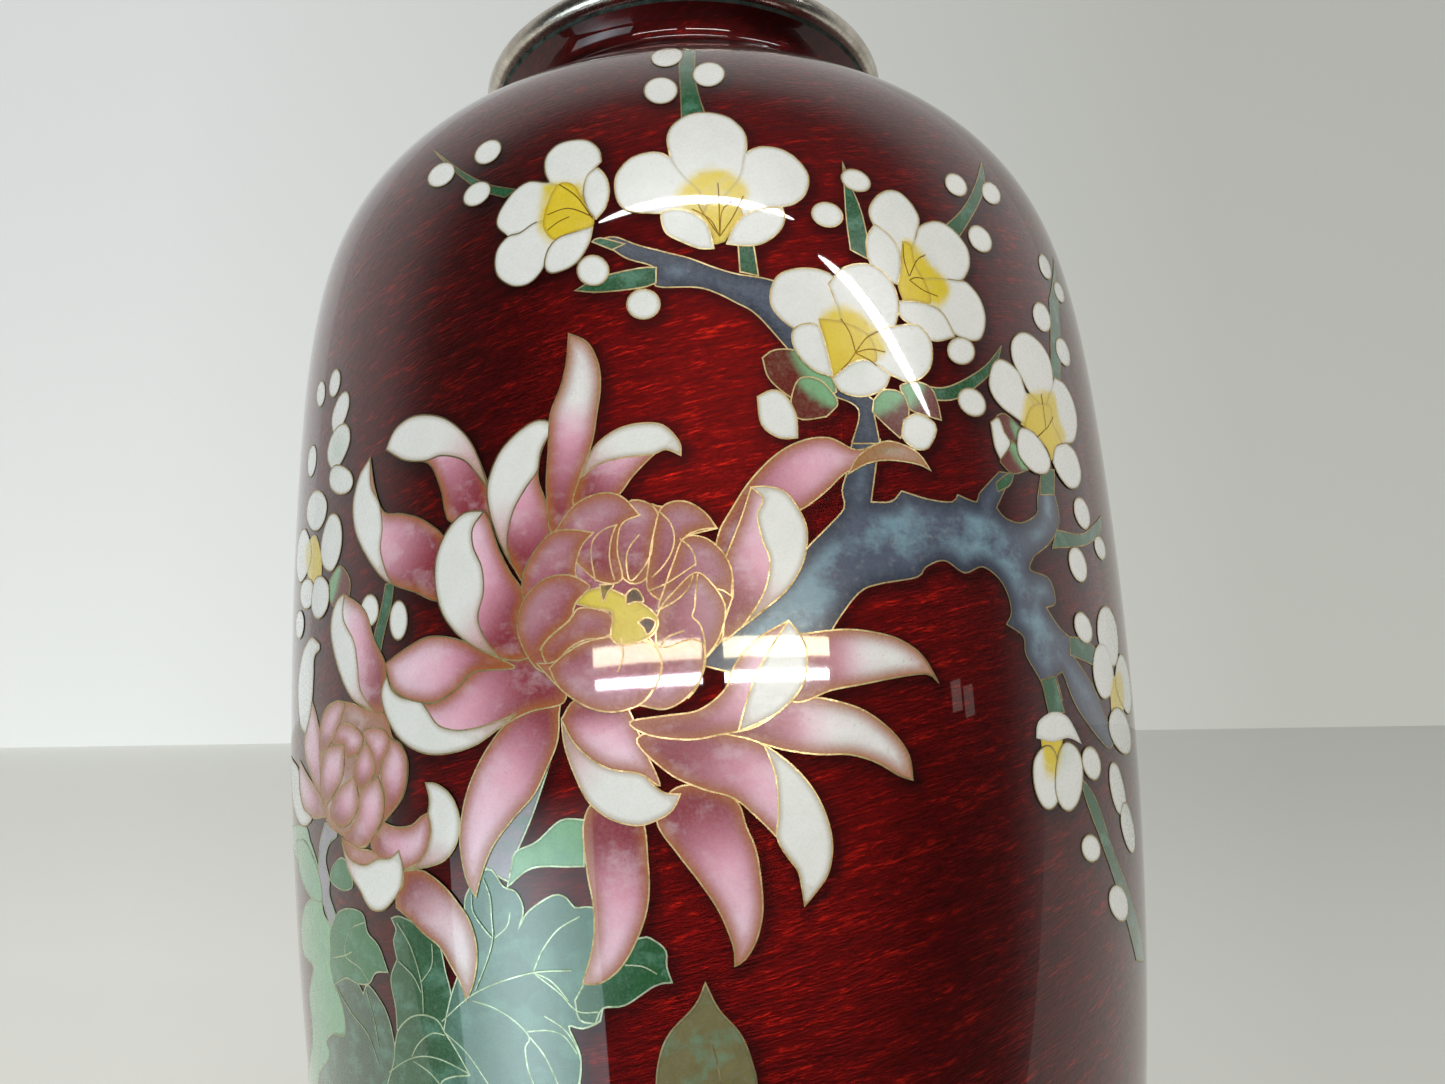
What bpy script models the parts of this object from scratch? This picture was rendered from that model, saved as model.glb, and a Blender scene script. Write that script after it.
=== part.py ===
"""A cloisonne vase of the silver-foil kind, in metres, standing on Z = 0 with its axis on Z.

It is built in the order it is made: a copper body and base plate, an enamel lining, silver foil over the
copper, flat wires standing on edge on the foil, enamel filled in between the wires, and a silver ring on
the mouth and on the foot.  The front of the vase faces -Y.
"""

import math

import bmesh
import bpy
from mathutils import Vector

MM = 0.001
GAP = 0.3                 # clearance between pieces that touch in the real vase, in mm
STEPS = 32                # flats round the body
GIRTH_R = 68.5            # radius at the widest girth: pattern distances are measured round it

# How deep each layer lies under the polished outside, in mm.
ENAMEL = (0.0, 1.0)
FOIL = (1.3, 1.5)
COPPER = (1.8, 2.8)
LINING = (3.1, 3.6)

WIRE_HALF = 0.15          # half the thickness of the partition wire
TILE_INSET = WIRE_HALF + GAP
LEAST_RED_CELL = 3.0      # red cells narrower than this, in mm, are not made

# Outside of the body from foot to mouth: (height, radius).
PROFILE = [
    (4, 43.5), (24, 52.0), (48, 59.7), (76, 64.6), (104, 67.2), (140, 68.5), (171, 67.8), (192, 65.8),
    (205, 62.1), (212, 58.0), (219, 51.4), (226.5, 42.0), (231, 34.9), (234.5, 32.0), (237, 33.0),
    (239.3, 35.6),
]

# Rings and base: (radius, height), outer side running from top to bottom.
MOUTH_RIM = [
    (36.4, 243.2), (37.3, 242.7), (37.6, 241.8), (37.5, 240.7), (36.9, 239.9), (36.0, 239.6), (31.8, 239.6),
    (31.2, 240.2), (31.0, 241.2), (31.3, 242.4), (32.2, 243.1),
]
FOOT_RIM = [
    (43.8, 3.7), (44.5, 3.2), (44.7, 2.2), (44.7, 0.6), (44.2, 0.0), (40.2, 0.0), (39.6, 0.5), (38.5, 1.8),
    (38.5, 3.7),
]
BASE_PLATE_R = 40.3
BASE_PLATE_Z = (4.0, 5.2)
BASE_ENAMEL_R = 38.2
BASE_ENAMEL_Z = (3.1, 3.7)
LINING_FLOOR_Z = (5.5, 6.0)

# Pattern outlines: (distance round the girth from the middle of the front, height), front pieces first.
CHRYSANTHEMUM = [
    ("petal_boat", [(-17.5, 126), (-16, 123), (-11.5, 120), (-7, 118), (-4.5, 117), (-6.5, 115), (-10.5, 114),
                    (-14, 116), (-16.8, 121)]),
    ("petal_drop", [(8.5, 135), (10.5, 131.5), (8, 126), (0.5, 123.2), (-5.5, 124), (-7.5, 126), (-2.5, 126.8),
                    (0, 129), (1, 133), (4, 134.5)]),
    ("petal_right_white", [(6, 151), (9, 150.5), (11.5, 146.5), (10.5, 141), (6, 136.5), (2.5, 133.8),
                           (1.5, 136), (2.5, 139), (4, 145)]),
    ("petal_left_crescent", [(-26.5, 151), (-31.5, 149), (-33.5, 142.5), (-30.5, 136.5), (-24.5, 133),
                             (-22, 134), (-21.5, 138), (-23, 142), (-25, 146)]),
    ("petal_low_left", [(-42, 133.5), (-38, 136), (-34.5, 137), (-30, 136), (-24, 133), (-28, 131.5),
                        (-31, 129.5), (-34, 128), (-38, 129)]),
    ("bulb", [(-22, 137), (-21.5, 142), (-18, 146.5), (-15, 143.5), (-12.5, 141), (-6.5, 138.5), (-5, 134),
              (-2, 132), (-0.5, 129), (-3, 127), (-6, 126), (-11.5, 126), (-17, 128.5), (-20, 131)]),
    ("petal_hook_top", [(-12, 157.5), (-7, 159.5), (-4, 158.5), (-1.5, 155.5), (-5.5, 155), (-7.5, 153.5),
                        (-10, 150.5), (-15, 150), (-14, 154.5)]),
    ("petal_tall", [(-15.5, 171), (-12.5, 169), (-11.2, 164.5), (-12.5, 158), (-14, 153), (-14, 147.5),
                    (-17.5, 146.5), (-18.5, 153), (-17.8, 161), (-16.8, 167)]),
    ("petal_hook_left", [(-43, 160.5), (-38.5, 164.5), (-32, 163), (-27.5, 157), (-25.5, 150.5), (-31, 147.5),
                         (-33, 151), (-34.5, 157), (-39, 159)]),
    ("petal_left_edge", [(-46, 161), (-50, 157), (-49.5, 151), (-44, 144), (-38, 141.5), (-32, 140.5),
                         (-31.5, 146), (-34.5, 150.5), (-40, 152), (-43.5, 154)]),
    ("petal_upper_left", [(-15.5, 159), (-21.5, 160), (-25, 156.5), (-26.5, 150), (-24.5, 144), (-21, 140),
                          (-17, 145), (-18, 150), (-19, 155)]),
    ("petal_left_bowl", [(-43, 131.5), (-42.5, 127), (-36.5, 122.5), (-28.5, 123), (-22, 126), (-17, 129),
                         (-20, 134), (-26, 134), (-33, 131)]),
    ("petal_ring_upper", [(-18, 147), (-14.5, 150.5), (-9.5, 151), (-4.5, 149.5), (0, 148.5), (2.8, 144.5),
                          (2.5, 138), (0, 131), (-4, 130), (-8, 136), (-14, 140)]),
    ("petal_right_top", [(2.5, 144), (5.5, 151.5), (11.5, 156.5), (18.5, 156), (24, 157), (29, 153),
                         (19.5, 153), (14, 149.5), (8, 146), (4, 139)]),
    ("petal_right_mid", [(8, 134), (15, 134.5), (21.5, 133.5), (27, 127.5), (21.5, 128), (13.5, 127),
                         (8, 129)]),
    ("petal_fall_right", [(-9, 122), (1.5, 124.5), (8, 120), (12.5, 113.5), (12, 108), (9, 104), (7.2, 108.5),
                          (5, 112), (1.5, 116), (-6, 116)]),
    ("petal_right_low", [(1, 122), (9.5, 127), (17, 125.5), (23, 117), (18, 119), (9, 119.5)]),
    ("petal_fall_tip", [(1.5, 98.5), (-1, 105), (-4.5, 110.5), (-8, 114.5), (-5, 118), (0, 118), (3, 114.5),
                        (4.5, 111), (4.5, 105.5), (3.5, 100.5)]),
    ("petal_low_middle", [(-16, 118), (-8, 116), (-7.5, 110), (-8.5, 105), (-11.5, 99.5), (-16.3, 97),
                          (-14.7, 105.5)]),
    ("petal_low_fall", [(-21, 129), (-27.5, 122.5), (-31, 115), (-30.5, 109), (-28.5, 106), (-26, 112),
                        (-21, 117), (-15, 121), (-16, 128)]),
    ("leaf_large", [(-28.5, 110), (-25, 107.5), (-22.5, 105), (-19, 106.5), (-14, 105), (-9.5, 102.5),
                    (-6, 99.5), (-8, 97), (-14, 95), (-18, 92), (-24, 89.5), (-30, 91), (-30, 96), (-28, 102)]),
]
SMALL_CHRYSANTHEMUM = [
    ("small_crescent", [(-36, 120), (-33, 119.5), (-30.5, 113.5), (-34, 109.5), (-40, 109.5), (-38.5, 114)]),
    ("small_bud", [(-55, 127.5), (-45.5, 126), (-38, 120), (-37.5, 111), (-44, 108.5), (-51, 109),
                   (-60.5, 113), (-61, 121)]),
    ("small_fallen_petal", [(-41, 112), (-34, 110.5), (-31, 106), (-28.5, 101), (-31.2, 95), (-33.5, 99.5),
                            (-38.5, 103.5), (-41.5, 106)]),
]
LEAVES = [
    ("leaf_left", [(-54.5, 104.5), (-48, 104), (-43.5, 99), (-48.5, 95.5), (-56.5, 94.5), (-58.5, 99)]),
    ("leaf_low", [(-40, 103), (-37, 101.5), (-34.8, 98), (-36.5, 94), (-41, 91), (-42, 97)]),
    ("closed_bud", [(-2.5, 98), (-0.5, 95), (2.5, 90.5), (2.5, 84), (-1, 78), (-5.5, 78), (-9, 84), (-8, 91),
                    (-4.5, 95)]),
]
BRANCHES = [
    ("branch_upper", [(-14, 183.5), (-6.5, 181.5), (-0.5, 179.5), (9, 176.5), (16, 172), (14, 165), (7.5, 171),
                      (1, 174.5), (-4.5, 176), (-9, 179)]),
    ("branch_lower", [(14.5, 148), (20.5, 151.5), (26, 151.3), (31.5, 151), (40, 153), (39.5, 149.5),
                      (46.5, 149), (51, 157), (48.5, 145), (44, 141.5), (48, 137.5), (51, 132), (56, 126.5),
                      (60, 119.5), (51, 123), (44, 131), (38.5, 135), (36.5, 139.5), (29, 141.5), (25, 139.5),
                      (17, 137.5), (12.8, 136.5), (12.9, 142)]),
]
# Five-petalled blossoms: name, centre, outside radius round the girth and up the wall, turn in degrees.
BLOSSOMS = [
    ("blossom_left", (-16.8, 188.3), (11.5, 10.0), 80),
    ("blossom_top", (3.2, 189.5), (13.5, 9.5), 94),
    ("blossom_middle", (17.8, 168.8), (12.6, 9.2), 56),
    ("blossom_upper_right", (30.8, 179.6), (9.5, 9.8), 70),
    ("blossom_right", (50.5, 162.8), (11.0, 10.5), 92),
]
BLOSSOM_HEART_R = 2.6

COLOURS = {
    "red_enamel": ((0.42, 0.012, 0.008), 0.06, 0.0),
    "silver": ((0.78, 0.77, 0.74), 0.22, 1.0),
    "foil": ((0.86, 0.85, 0.83), 0.30, 1.0),
    "copper": ((0.72, 0.36, 0.22), 0.35, 1.0),
    "counter_enamel": ((0.10, 0.17, 0.20), 0.18, 0.0),
    "pink_enamel": ((0.56, 0.24, 0.32), 0.08, 0.0),
    "white_enamel": ((0.78, 0.80, 0.77), 0.08, 0.0),
    "yellow_enamel": ((0.76, 0.58, 0.05), 0.08, 0.0),
    "leaf_enamel": ((0.06, 0.22, 0.15), 0.08, 0.0),
    "bark_enamel": ((0.14, 0.17, 0.19), 0.10, 0.0),
    "wire_silver": ((0.80, 0.74, 0.58), 0.25, 1.0),
}

for old in list(bpy.data.objects):
    bpy.data.objects.remove(old)

vase = bpy.data.collections.new("cloisonne_vase")
bpy.context.scene.collection.children.link(vase)

materials = {}
for colour_name, (rgb, roughness, metallic) in COLOURS.items():
    made = bpy.data.materials.new(colour_name)
    made.use_nodes = True
    shader = made.node_tree.nodes["Principled BSDF"]
    shader.inputs["Base Color"].default_value = (*rgb, 1.0)
    shader.inputs["Roughness"].default_value = roughness
    shader.inputs["Metallic"].default_value = metallic
    made.diffuse_color = (*rgb, 1.0)
    materials[colour_name] = made


# ---- The shape of the wall ----------------------------------------------------------------------------

def outward(index):
    """The outward direction (radius, height) at one point of PROFILE; level at both cut ends."""
    if index in (0, len(PROFILE) - 1):
        return 1.0, 0.0
    low = Vector((PROFILE[index][1] - PROFILE[index - 1][1], PROFILE[index][0] - PROFILE[index - 1][0]))
    high = Vector((PROFILE[index + 1][1] - PROFILE[index][1], PROFILE[index + 1][0] - PROFILE[index][0]))
    along = (low.normalized() + high.normalized()).normalized()
    return along.y, -along.x


def wall_point(index, depth):
    """(radius, height) of one profile point, moved inwards by depth."""
    out_r, out_z = outward(index)
    return PROFILE[index][1] - depth * out_r, PROFILE[index][0] - depth * out_z


def on_wall(girth, height, depth):
    """A point of the pattern laid on the wall's flats, in metres."""
    step = 2 * math.pi * GIRTH_R / STEPS
    column = math.floor(girth / step + 1e-7)
    across = girth / step - column
    row = 0
    while row < len(PROFILE) - 2 and height > PROFILE[row + 1][0] - 1e-6:
        row += 1
    up = (height - PROFILE[row][0]) / (PROFILE[row + 1][0] - PROFILE[row][0])
    low_r, low_z = wall_point(row, depth)
    high_r, high_z = wall_point(row + 1, depth)
    radius = low_r + (high_r - low_r) * up
    level = low_z + (high_z - low_z) * up
    first = 2 * math.pi * column / STEPS - math.pi / 2
    second = 2 * math.pi * (column + 1) / STEPS - math.pi / 2
    x = radius * (math.cos(first) * (1 - across) + math.cos(second) * across)
    y = radius * (math.sin(first) * (1 - across) + math.sin(second) * across)
    return Vector((x * MM, y * MM, level * MM))


# ---- Turned pieces ------------------------------------------------------------------------------------

def turned(name, outline, colour):
    """A piece turned round the axis from a closed outline of (radius, height) in mm."""
    mesh = bpy.data.meshes.new(name)
    points = [(radius * MM, 0.0, height * MM) for radius, height in outline]
    count = len(points)
    closed = outline[0][0] > 0.0 or outline[-1][0] > 0.0
    edges = [(i, i + 1) for i in range(count - 1)]
    if closed:
        edges.append((count - 1, 0))
    mesh.from_pydata(points, edges, [])
    piece = bpy.data.objects.new(name, mesh)
    vase.objects.link(piece)
    screw = piece.modifiers.new("turn", "SCREW")
    screw.axis = "Z"
    screw.angle = 2 * math.pi
    screw.steps = STEPS
    screw.render_steps = STEPS
    screw.use_merge_vertices = True
    screw.merge_threshold = 0.00001
    screw.use_smooth_shade = True
    mesh.materials.append(materials[colour])
    return piece


def wall_outline(depths):
    """The outline of one layer of the wall: down its outer side, then up its inner side."""
    count = len(PROFILE)
    outside = [wall_point(i, depths[0]) for i in reversed(range(count))]
    inside = [wall_point(i, depths[1]) for i in range(count)]
    return outside + inside


turned("copper_body", wall_outline(COPPER), "copper")
turned("silver_foil", wall_outline(FOIL), "foil")
turned("mouth_rim", MOUTH_RIM, "silver")
turned("foot_rim", FOOT_RIM, "silver")
turned("base_plate", [(0, BASE_PLATE_Z[1]), (BASE_PLATE_R, BASE_PLATE_Z[1]), (BASE_PLATE_R, BASE_PLATE_Z[0]),
                      (0, BASE_PLATE_Z[0])], "copper")
turned("base_enamel", [(0, BASE_ENAMEL_Z[1]), (BASE_ENAMEL_R, BASE_ENAMEL_Z[1]),
                       (BASE_ENAMEL_R, BASE_ENAMEL_Z[0]), (0, BASE_ENAMEL_Z[0])], "counter_enamel")
lining_out = [wall_point(i, LINING[0]) for i in reversed(range(1, len(PROFILE)))]
lining_in = [wall_point(i, LINING[1]) for i in range(1, len(PROFILE))]
lining_foot_r = PROFILE[0][1] - LINING[0] + 0.3
lining = [(0, LINING_FLOOR_Z[1]), (lining_foot_r - 0.5, LINING_FLOOR_Z[1])] + lining_in + lining_out
lining += [(lining_foot_r, LINING_FLOOR_Z[0]), (0, LINING_FLOOR_Z[0])]
turned("inner_enamel", lining, "counter_enamel")


# ---- Flat pattern pieces ------------------------------------------------------------------------------

dividers = {}             # straight wires inside a piece, from near its middle to its edge


def offset(outline, distance):
    """The outline moved outwards by distance (inwards if negative); outlines run either way round."""
    points = [Vector(p) for p in outline]
    count = len(points)
    area = sum(points[i].cross(points[(i + 1) % count]) for i in range(count))
    side = 1.0 if area > 0 else -1.0
    moved = []
    for i in range(count):
        before = (points[i] - points[i - 1]).normalized()
        after = (points[(i + 1) % count] - points[i]).normalized()
        first = Vector((before.y, -before.x)) * side
        second = Vector((after.y, -after.x)) * side
        middle = (first + second).normalized()
        reach = min(1.0 / max(middle.dot(first), 0.2), 2.5)
        moved.append(points[i] + middle * distance * reach)
    return moved


def rounded(outline):
    """The outline with each corner but the sharpest eased by two points of a smooth curve."""
    points = [Vector(p) for p in outline]
    count = len(points)
    made = []
    for i in range(count):
        before = (points[i] - points[i - 1]).normalized()
        after = (points[(i + 1) % count] - points[i]).normalized()
        if before.dot(after) < 0.25:
            made.append(points[i])
        else:
            made.append(points[i].lerp(points[i - 1], 0.22))
            made.append(points[i].lerp(points[(i + 1) % count], 0.22))
    return made


def slab(outline, low=0.0, high=10.0):
    """A flat piece in pattern space: millimetres across and up, and 10 for the full enamel depth."""
    mesh = bpy.data.meshes.new("slab")
    count = len(outline)
    points = [(p[0], p[1], low) for p in outline] + [(p[0], p[1], high) for p in outline]
    faces = [list(range(count)), list(range(count, 2 * count))]
    for i in range(count):
        j = (i + 1) % count
        faces.append([i, j, count + j, count + i])
    mesh.from_pydata(points, [], faces)
    fix = bmesh.new()
    fix.from_mesh(mesh)
    bmesh.ops.recalc_face_normals(fix, faces=fix.faces)
    fix.to_mesh(mesh)
    fix.free()
    return mesh


def combine(base, cutters, operation):
    """One flat mesh with others cut from it or joined to it."""
    scene_root = bpy.context.scene.collection
    holder = bpy.data.objects.new("holder", base)
    scene_root.objects.link(holder)
    helpers = []
    for mesh in cutters:
        helper = bpy.data.objects.new("helper", mesh)
        scene_root.objects.link(helper)
        helpers.append(helper)
        cut = holder.modifiers.new("cut", "BOOLEAN")
        cut.operation = operation
        cut.solver = "EXACT"
        cut.object = helper
    graph = bpy.context.evaluated_depsgraph_get()
    graph.update()
    made = bpy.data.meshes.new_from_object(holder.evaluated_get(graph))
    for helper in helpers:
        bpy.data.objects.remove(helper)
    bpy.data.objects.remove(holder)
    return made


def strip(inner, outer, half_width):
    """A straight strip between two points."""
    along = (Vector(outer) - Vector(inner)).normalized()
    side = Vector((along.y, -along.x)) * half_width
    return [Vector(inner) - side, Vector(outer) - side, Vector(outer) + side, Vector(inner) + side]


def touches(first, second):
    """Whether two outlines' surrounding boxes meet."""
    for axis in (0, 1):
        a = [p[axis] for p in first]
        b = [p[axis] for p in second]
        if min(a) - 1 > max(b) or min(b) - 1 > max(a):
            return False
    return True


def cell(pieces, index, inset, low, high):
    """The part of one piece that shows beside the pieces in front of it, drawn in by inset all round."""
    name, outline = pieces[index]
    front = [other for _, other in pieces[:index] if touches(outline, other)]
    cuts = [slab(offset(other, inset), low - 2, high + 2) for other in front]
    for inner, outer in dividers.get(name, []):
        cuts.append(slab(strip(inner, outer, inset), low - 2.5, high + 2.5))
    base = slab(offset(outline, -inset), low, high)
    if not cuts:
        return base
    return combine(base, cuts, "DIFFERENCE")


def islands(work):
    """The vertices of each connected piece of a mesh, largest piece first."""
    waiting = set(work.verts)
    found = []
    while waiting:
        edge_of_search = [waiting.pop()]
        island = set(edge_of_search)
        while edge_of_search:
            vertex = edge_of_search.pop()
            for edge in vertex.link_edges:
                other = edge.other_vert(vertex)
                if other not in island:
                    island.add(other)
                    edge_of_search.append(other)
        waiting -= island
        found.append(island)
    return sorted(found, key=lambda island: (-len(island), min(v.index for v in island)))


def laid_on_wall(name, flat, colour, keep_chips=False):
    """A flat mesh cut along the wall's flats, wrapped round the wall and kept as a finished piece."""
    work = bmesh.new()
    work.from_mesh(flat)
    step = 2 * math.pi * GIRTH_R / STEPS
    least = min(v.co.x for v in work.verts)
    most = max(v.co.x for v in work.verts)
    for column in range(math.ceil(least / step), math.floor(most / step) + 1):
        everything = work.verts[:] + work.edges[:] + work.faces[:]
        bmesh.ops.bisect_plane(work, geom=everything, plane_co=(column * step, 0, 0), plane_no=(1, 0, 0),
                               dist=0.001)
    for height, _ in PROFILE:
        everything = work.verts[:] + work.edges[:] + work.faces[:]
        bmesh.ops.bisect_plane(work, geom=everything, plane_co=(0, height, 0), plane_no=(0, 1, 0), dist=0.001)
    bmesh.ops.remove_doubles(work, verts=work.verts, dist=0.02)
    if not keep_chips:
        work.verts.index_update()
        chips = [v for island in islands(work)[1:] for v in island]
        bmesh.ops.delete(work, geom=chips, context="VERTS")
    for vertex in work.verts:
        x, y, level = vertex.co
        vertex.co = on_wall(x, y, ENAMEL[1] * (1 - level / 10.0))
    bmesh.ops.recalc_face_normals(work, faces=work.faces)
    if work.calc_volume(signed=True) < 0:
        bmesh.ops.reverse_faces(work, faces=work.faces)
    mesh = bpy.data.meshes.new(name)
    work.to_mesh(mesh)
    work.free()
    mesh.materials.clear()
    mesh.materials.append(materials[colour])
    piece = bpy.data.objects.new(name, mesh)
    vase.objects.link(piece)
    return piece


def wire_network(name, pieces):
    """One net of wire round every cell of a motif, with the cells left open."""
    lumps = [slab(offset(outline, WIRE_HALF), -2.0 - 0.1 * i, 12.0 + 0.1 * i)
             for i, (_, outline) in enumerate(pieces)]
    whole = combine(lumps[0], lumps[1:], "UNION")
    across = [p[0] for _, outline in pieces for p in outline]
    up = [p[1] for _, outline in pieces for p in outline]
    plate = slab([(min(across) - 3, min(up) - 3), (max(across) + 3, min(up) - 3),
                  (max(across) + 3, max(up) + 3), (min(across) - 3, max(up) + 3)])
    net = combine(plate, [whole], "INTERSECT")
    holes = [cell(pieces, i, WIRE_HALF, -2.0 - 0.1 * i, 12.0 + 0.1 * i) for i in range(len(pieces))]
    laid_on_wall(name, combine(net, holes, "DIFFERENCE"), "wire_silver")


def blossom_outline(centre, radii, turn):
    """Five round petals as one scalloped outline."""
    points = []
    for i in range(30):
        angle = math.radians(turn) + 2 * math.pi * i / 30
        lobe = abs(math.cos(2.5 * (angle - math.radians(turn))))
        reach = 0.72 + 0.28 * math.sqrt(lobe)
        points.append((centre[0] + radii[0] * reach * math.cos(angle),
                       centre[1] + radii[1] * reach * math.sin(angle)))
    return points


def blossom_dividers(centre, radii, turn):
    """Wires from the notches towards the heart; the first runs all the way in, the others stop short."""
    lines = []
    for i in range(5):
        angle = math.radians(turn + 36 + 72 * i)
        direction = Vector((math.cos(angle), math.sin(angle)))
        stop = BLOSSOM_HEART_R - 0.3 if i == 0 else BLOSSOM_HEART_R + 2.2
        outer = Vector((centre[0] + radii[0] * direction.x, centre[1] + radii[1] * direction.y))
        lines.append((Vector(centre) + direction * stop, outer))
    return lines


def disc_outline(centre, radius):
    return [(centre[0] + radius * math.cos(math.pi * i / 5), centre[1] + radius * math.sin(math.pi * i / 5))
            for i in range(10)]


def motif(pieces, colours, wires_name):
    """Every enamel cell of one motif and the wire net round them."""
    shaped = [(name, outline) for name, outline in pieces]
    for i, (name, _) in enumerate(shaped):
        laid_on_wall(name, cell(shaped, i, TILE_INSET, 0.0, 10.0), colours[name])
    wire_network(wires_name, shaped)
    return [outline for _, outline in shaped]


def eased(pieces):
    return [(name, rounded(outline)) for name, outline in pieces]


def plum_spray(wires_name, blossoms, branches):
    """Blossoms with their hearts in front of the branch that they grow on."""
    pieces = []
    colours = {}
    for name, centre, _, _ in blossoms:
        pieces.append((name + "_heart", disc_outline(centre, BLOSSOM_HEART_R)))
        colours[name + "_heart"] = "yellow_enamel"
    for name, centre, radii, turn in blossoms:
        pieces.append((name, blossom_outline(centre, radii, turn)))
        dividers[name] = blossom_dividers(centre, radii, turn)
        colours[name] = "white_enamel"
    for name, outline in eased(branches):
        pieces.append((name, outline))
        colours[name] = "bark_enamel"
    return motif(pieces, colours, wires_name)


flower_colours = {name: "pink_enamel" for name, _ in CHRYSANTHEMUM}
flower_colours["petal_right_white"] = "white_enamel"
flower_colours["petal_left_crescent"] = "white_enamel"
flower_colours["petal_boat"] = "white_enamel"
flower_colours["leaf_large"] = "leaf_enamel"
small_colours = {name: "pink_enamel" for name, _ in SMALL_CHRYSANTHEMUM}
small_colours["small_crescent"] = "white_enamel"

filled = []
filled += plum_spray("upper_plum_wires", BLOSSOMS[:4], BRANCHES[:1])
filled += plum_spray("lower_plum_wires", BLOSSOMS[4:], BRANCHES[1:])
filled += motif(eased(CHRYSANTHEMUM), flower_colours, "chrysanthemum_wires")
filled += motif(eased(SMALL_CHRYSANTHEMUM), small_colours, "small_chrysanthemum_wires")
for leaf in eased(LEAVES):
    filled += motif([leaf], {leaf[0]: "leaf_enamel"}, leaf[0] + "_wire")


# ---- The red ground round the pattern -------------------------------------------------------------------

half_girth = math.pi * GIRTH_R
ends = [(-half_girth, PROFILE[0][0]), (half_girth, PROFILE[0][0]), (half_girth, PROFILE[-1][0]),
        (-half_girth, PROFILE[-1][0])]
pockets = [slab(offset(outline, TILE_INSET), -2.0, 12.0) for outline in filled]
ground = laid_on_wall("ground_enamel", combine(slab(ends), pockets, "DIFFERENCE"), "red_enamel",
                      keep_chips=True)
seam = bmesh.new()
seam.from_mesh(ground.data)
end_faces = [f for f in seam.faces
             if all(abs(v.co.x) < 1e-6 and v.co.y > 0 for v in f.verts)]
bmesh.ops.delete(seam, geom=end_faces, context="FACES")
bmesh.ops.remove_doubles(seam, verts=seam.verts, dist=0.000002)

# Red cells shut in between petals are pieces of their own; chips too small to fill are left out.
seam.verts.index_update()
pieces_of_ground = islands(seam)
red_cells = 0
for island in pieces_of_ground[1:]:
    width = max(v.co.x for v in island) - min(v.co.x for v in island)
    height = max(v.co.z for v in island) - min(v.co.z for v in island)
    if min(width, height) > LEAST_RED_CELL * MM:
        red_cells += 1
        numbers = {v: i for i, v in enumerate(sorted(island, key=lambda v: v.index))}
        faces = [[numbers[v] for v in f.verts] for f in seam.faces if f.verts[0] in island]
        mesh = bpy.data.meshes.new("red_cell_" + str(red_cells))
        mesh.from_pydata([v.co.copy() for v in numbers], [], faces)
        mesh.materials.append(materials["red_enamel"])
        vase.objects.link(bpy.data.objects.new("red_cell_" + str(red_cells), mesh))
loose = [v for island in pieces_of_ground[1:] for v in island]
bmesh.ops.delete(seam, geom=loose, context="VERTS")
seam.to_mesh(ground.data)
seam.free()
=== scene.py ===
"""The looks of a silver-foil cloisonne vase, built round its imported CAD.

The wall is one smooth turned surface.  The picture is laid on it as thin enamel fills, each drawn as an
outline in millimetres round the girth from the middle of the front, and height above the foot.  A later
outline lies over an earlier one.  Silver wires run along the outlines; the yellow hearts of the blossoms and the
petals that run into each other have none between them.
"""

import math

import bpy
import numpy as np
from mathutils import Matrix, Vector
from mathutils.geometry import delaunay_2d_cdt
from mathutils.kdtree import KDTree


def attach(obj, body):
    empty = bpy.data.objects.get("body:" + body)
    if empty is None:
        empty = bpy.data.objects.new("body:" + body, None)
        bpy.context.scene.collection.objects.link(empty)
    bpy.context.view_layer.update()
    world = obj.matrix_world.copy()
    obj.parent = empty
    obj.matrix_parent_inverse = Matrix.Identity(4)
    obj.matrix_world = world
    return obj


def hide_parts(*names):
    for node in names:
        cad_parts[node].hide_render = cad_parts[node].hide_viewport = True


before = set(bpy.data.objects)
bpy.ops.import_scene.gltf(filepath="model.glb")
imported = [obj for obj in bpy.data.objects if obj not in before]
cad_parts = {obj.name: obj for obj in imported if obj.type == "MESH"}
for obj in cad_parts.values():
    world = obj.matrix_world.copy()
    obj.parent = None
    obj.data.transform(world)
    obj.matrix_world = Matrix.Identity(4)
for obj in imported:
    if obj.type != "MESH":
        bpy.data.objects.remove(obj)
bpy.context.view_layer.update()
scene = bpy.context.scene

MM = 0.001
GIRTH_R = 68.5            # girth in the picture is this radius times the angle round the vase

# ---- The picture: outlines in mm; a star marks a sharp corner --------------------------------------------

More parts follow.
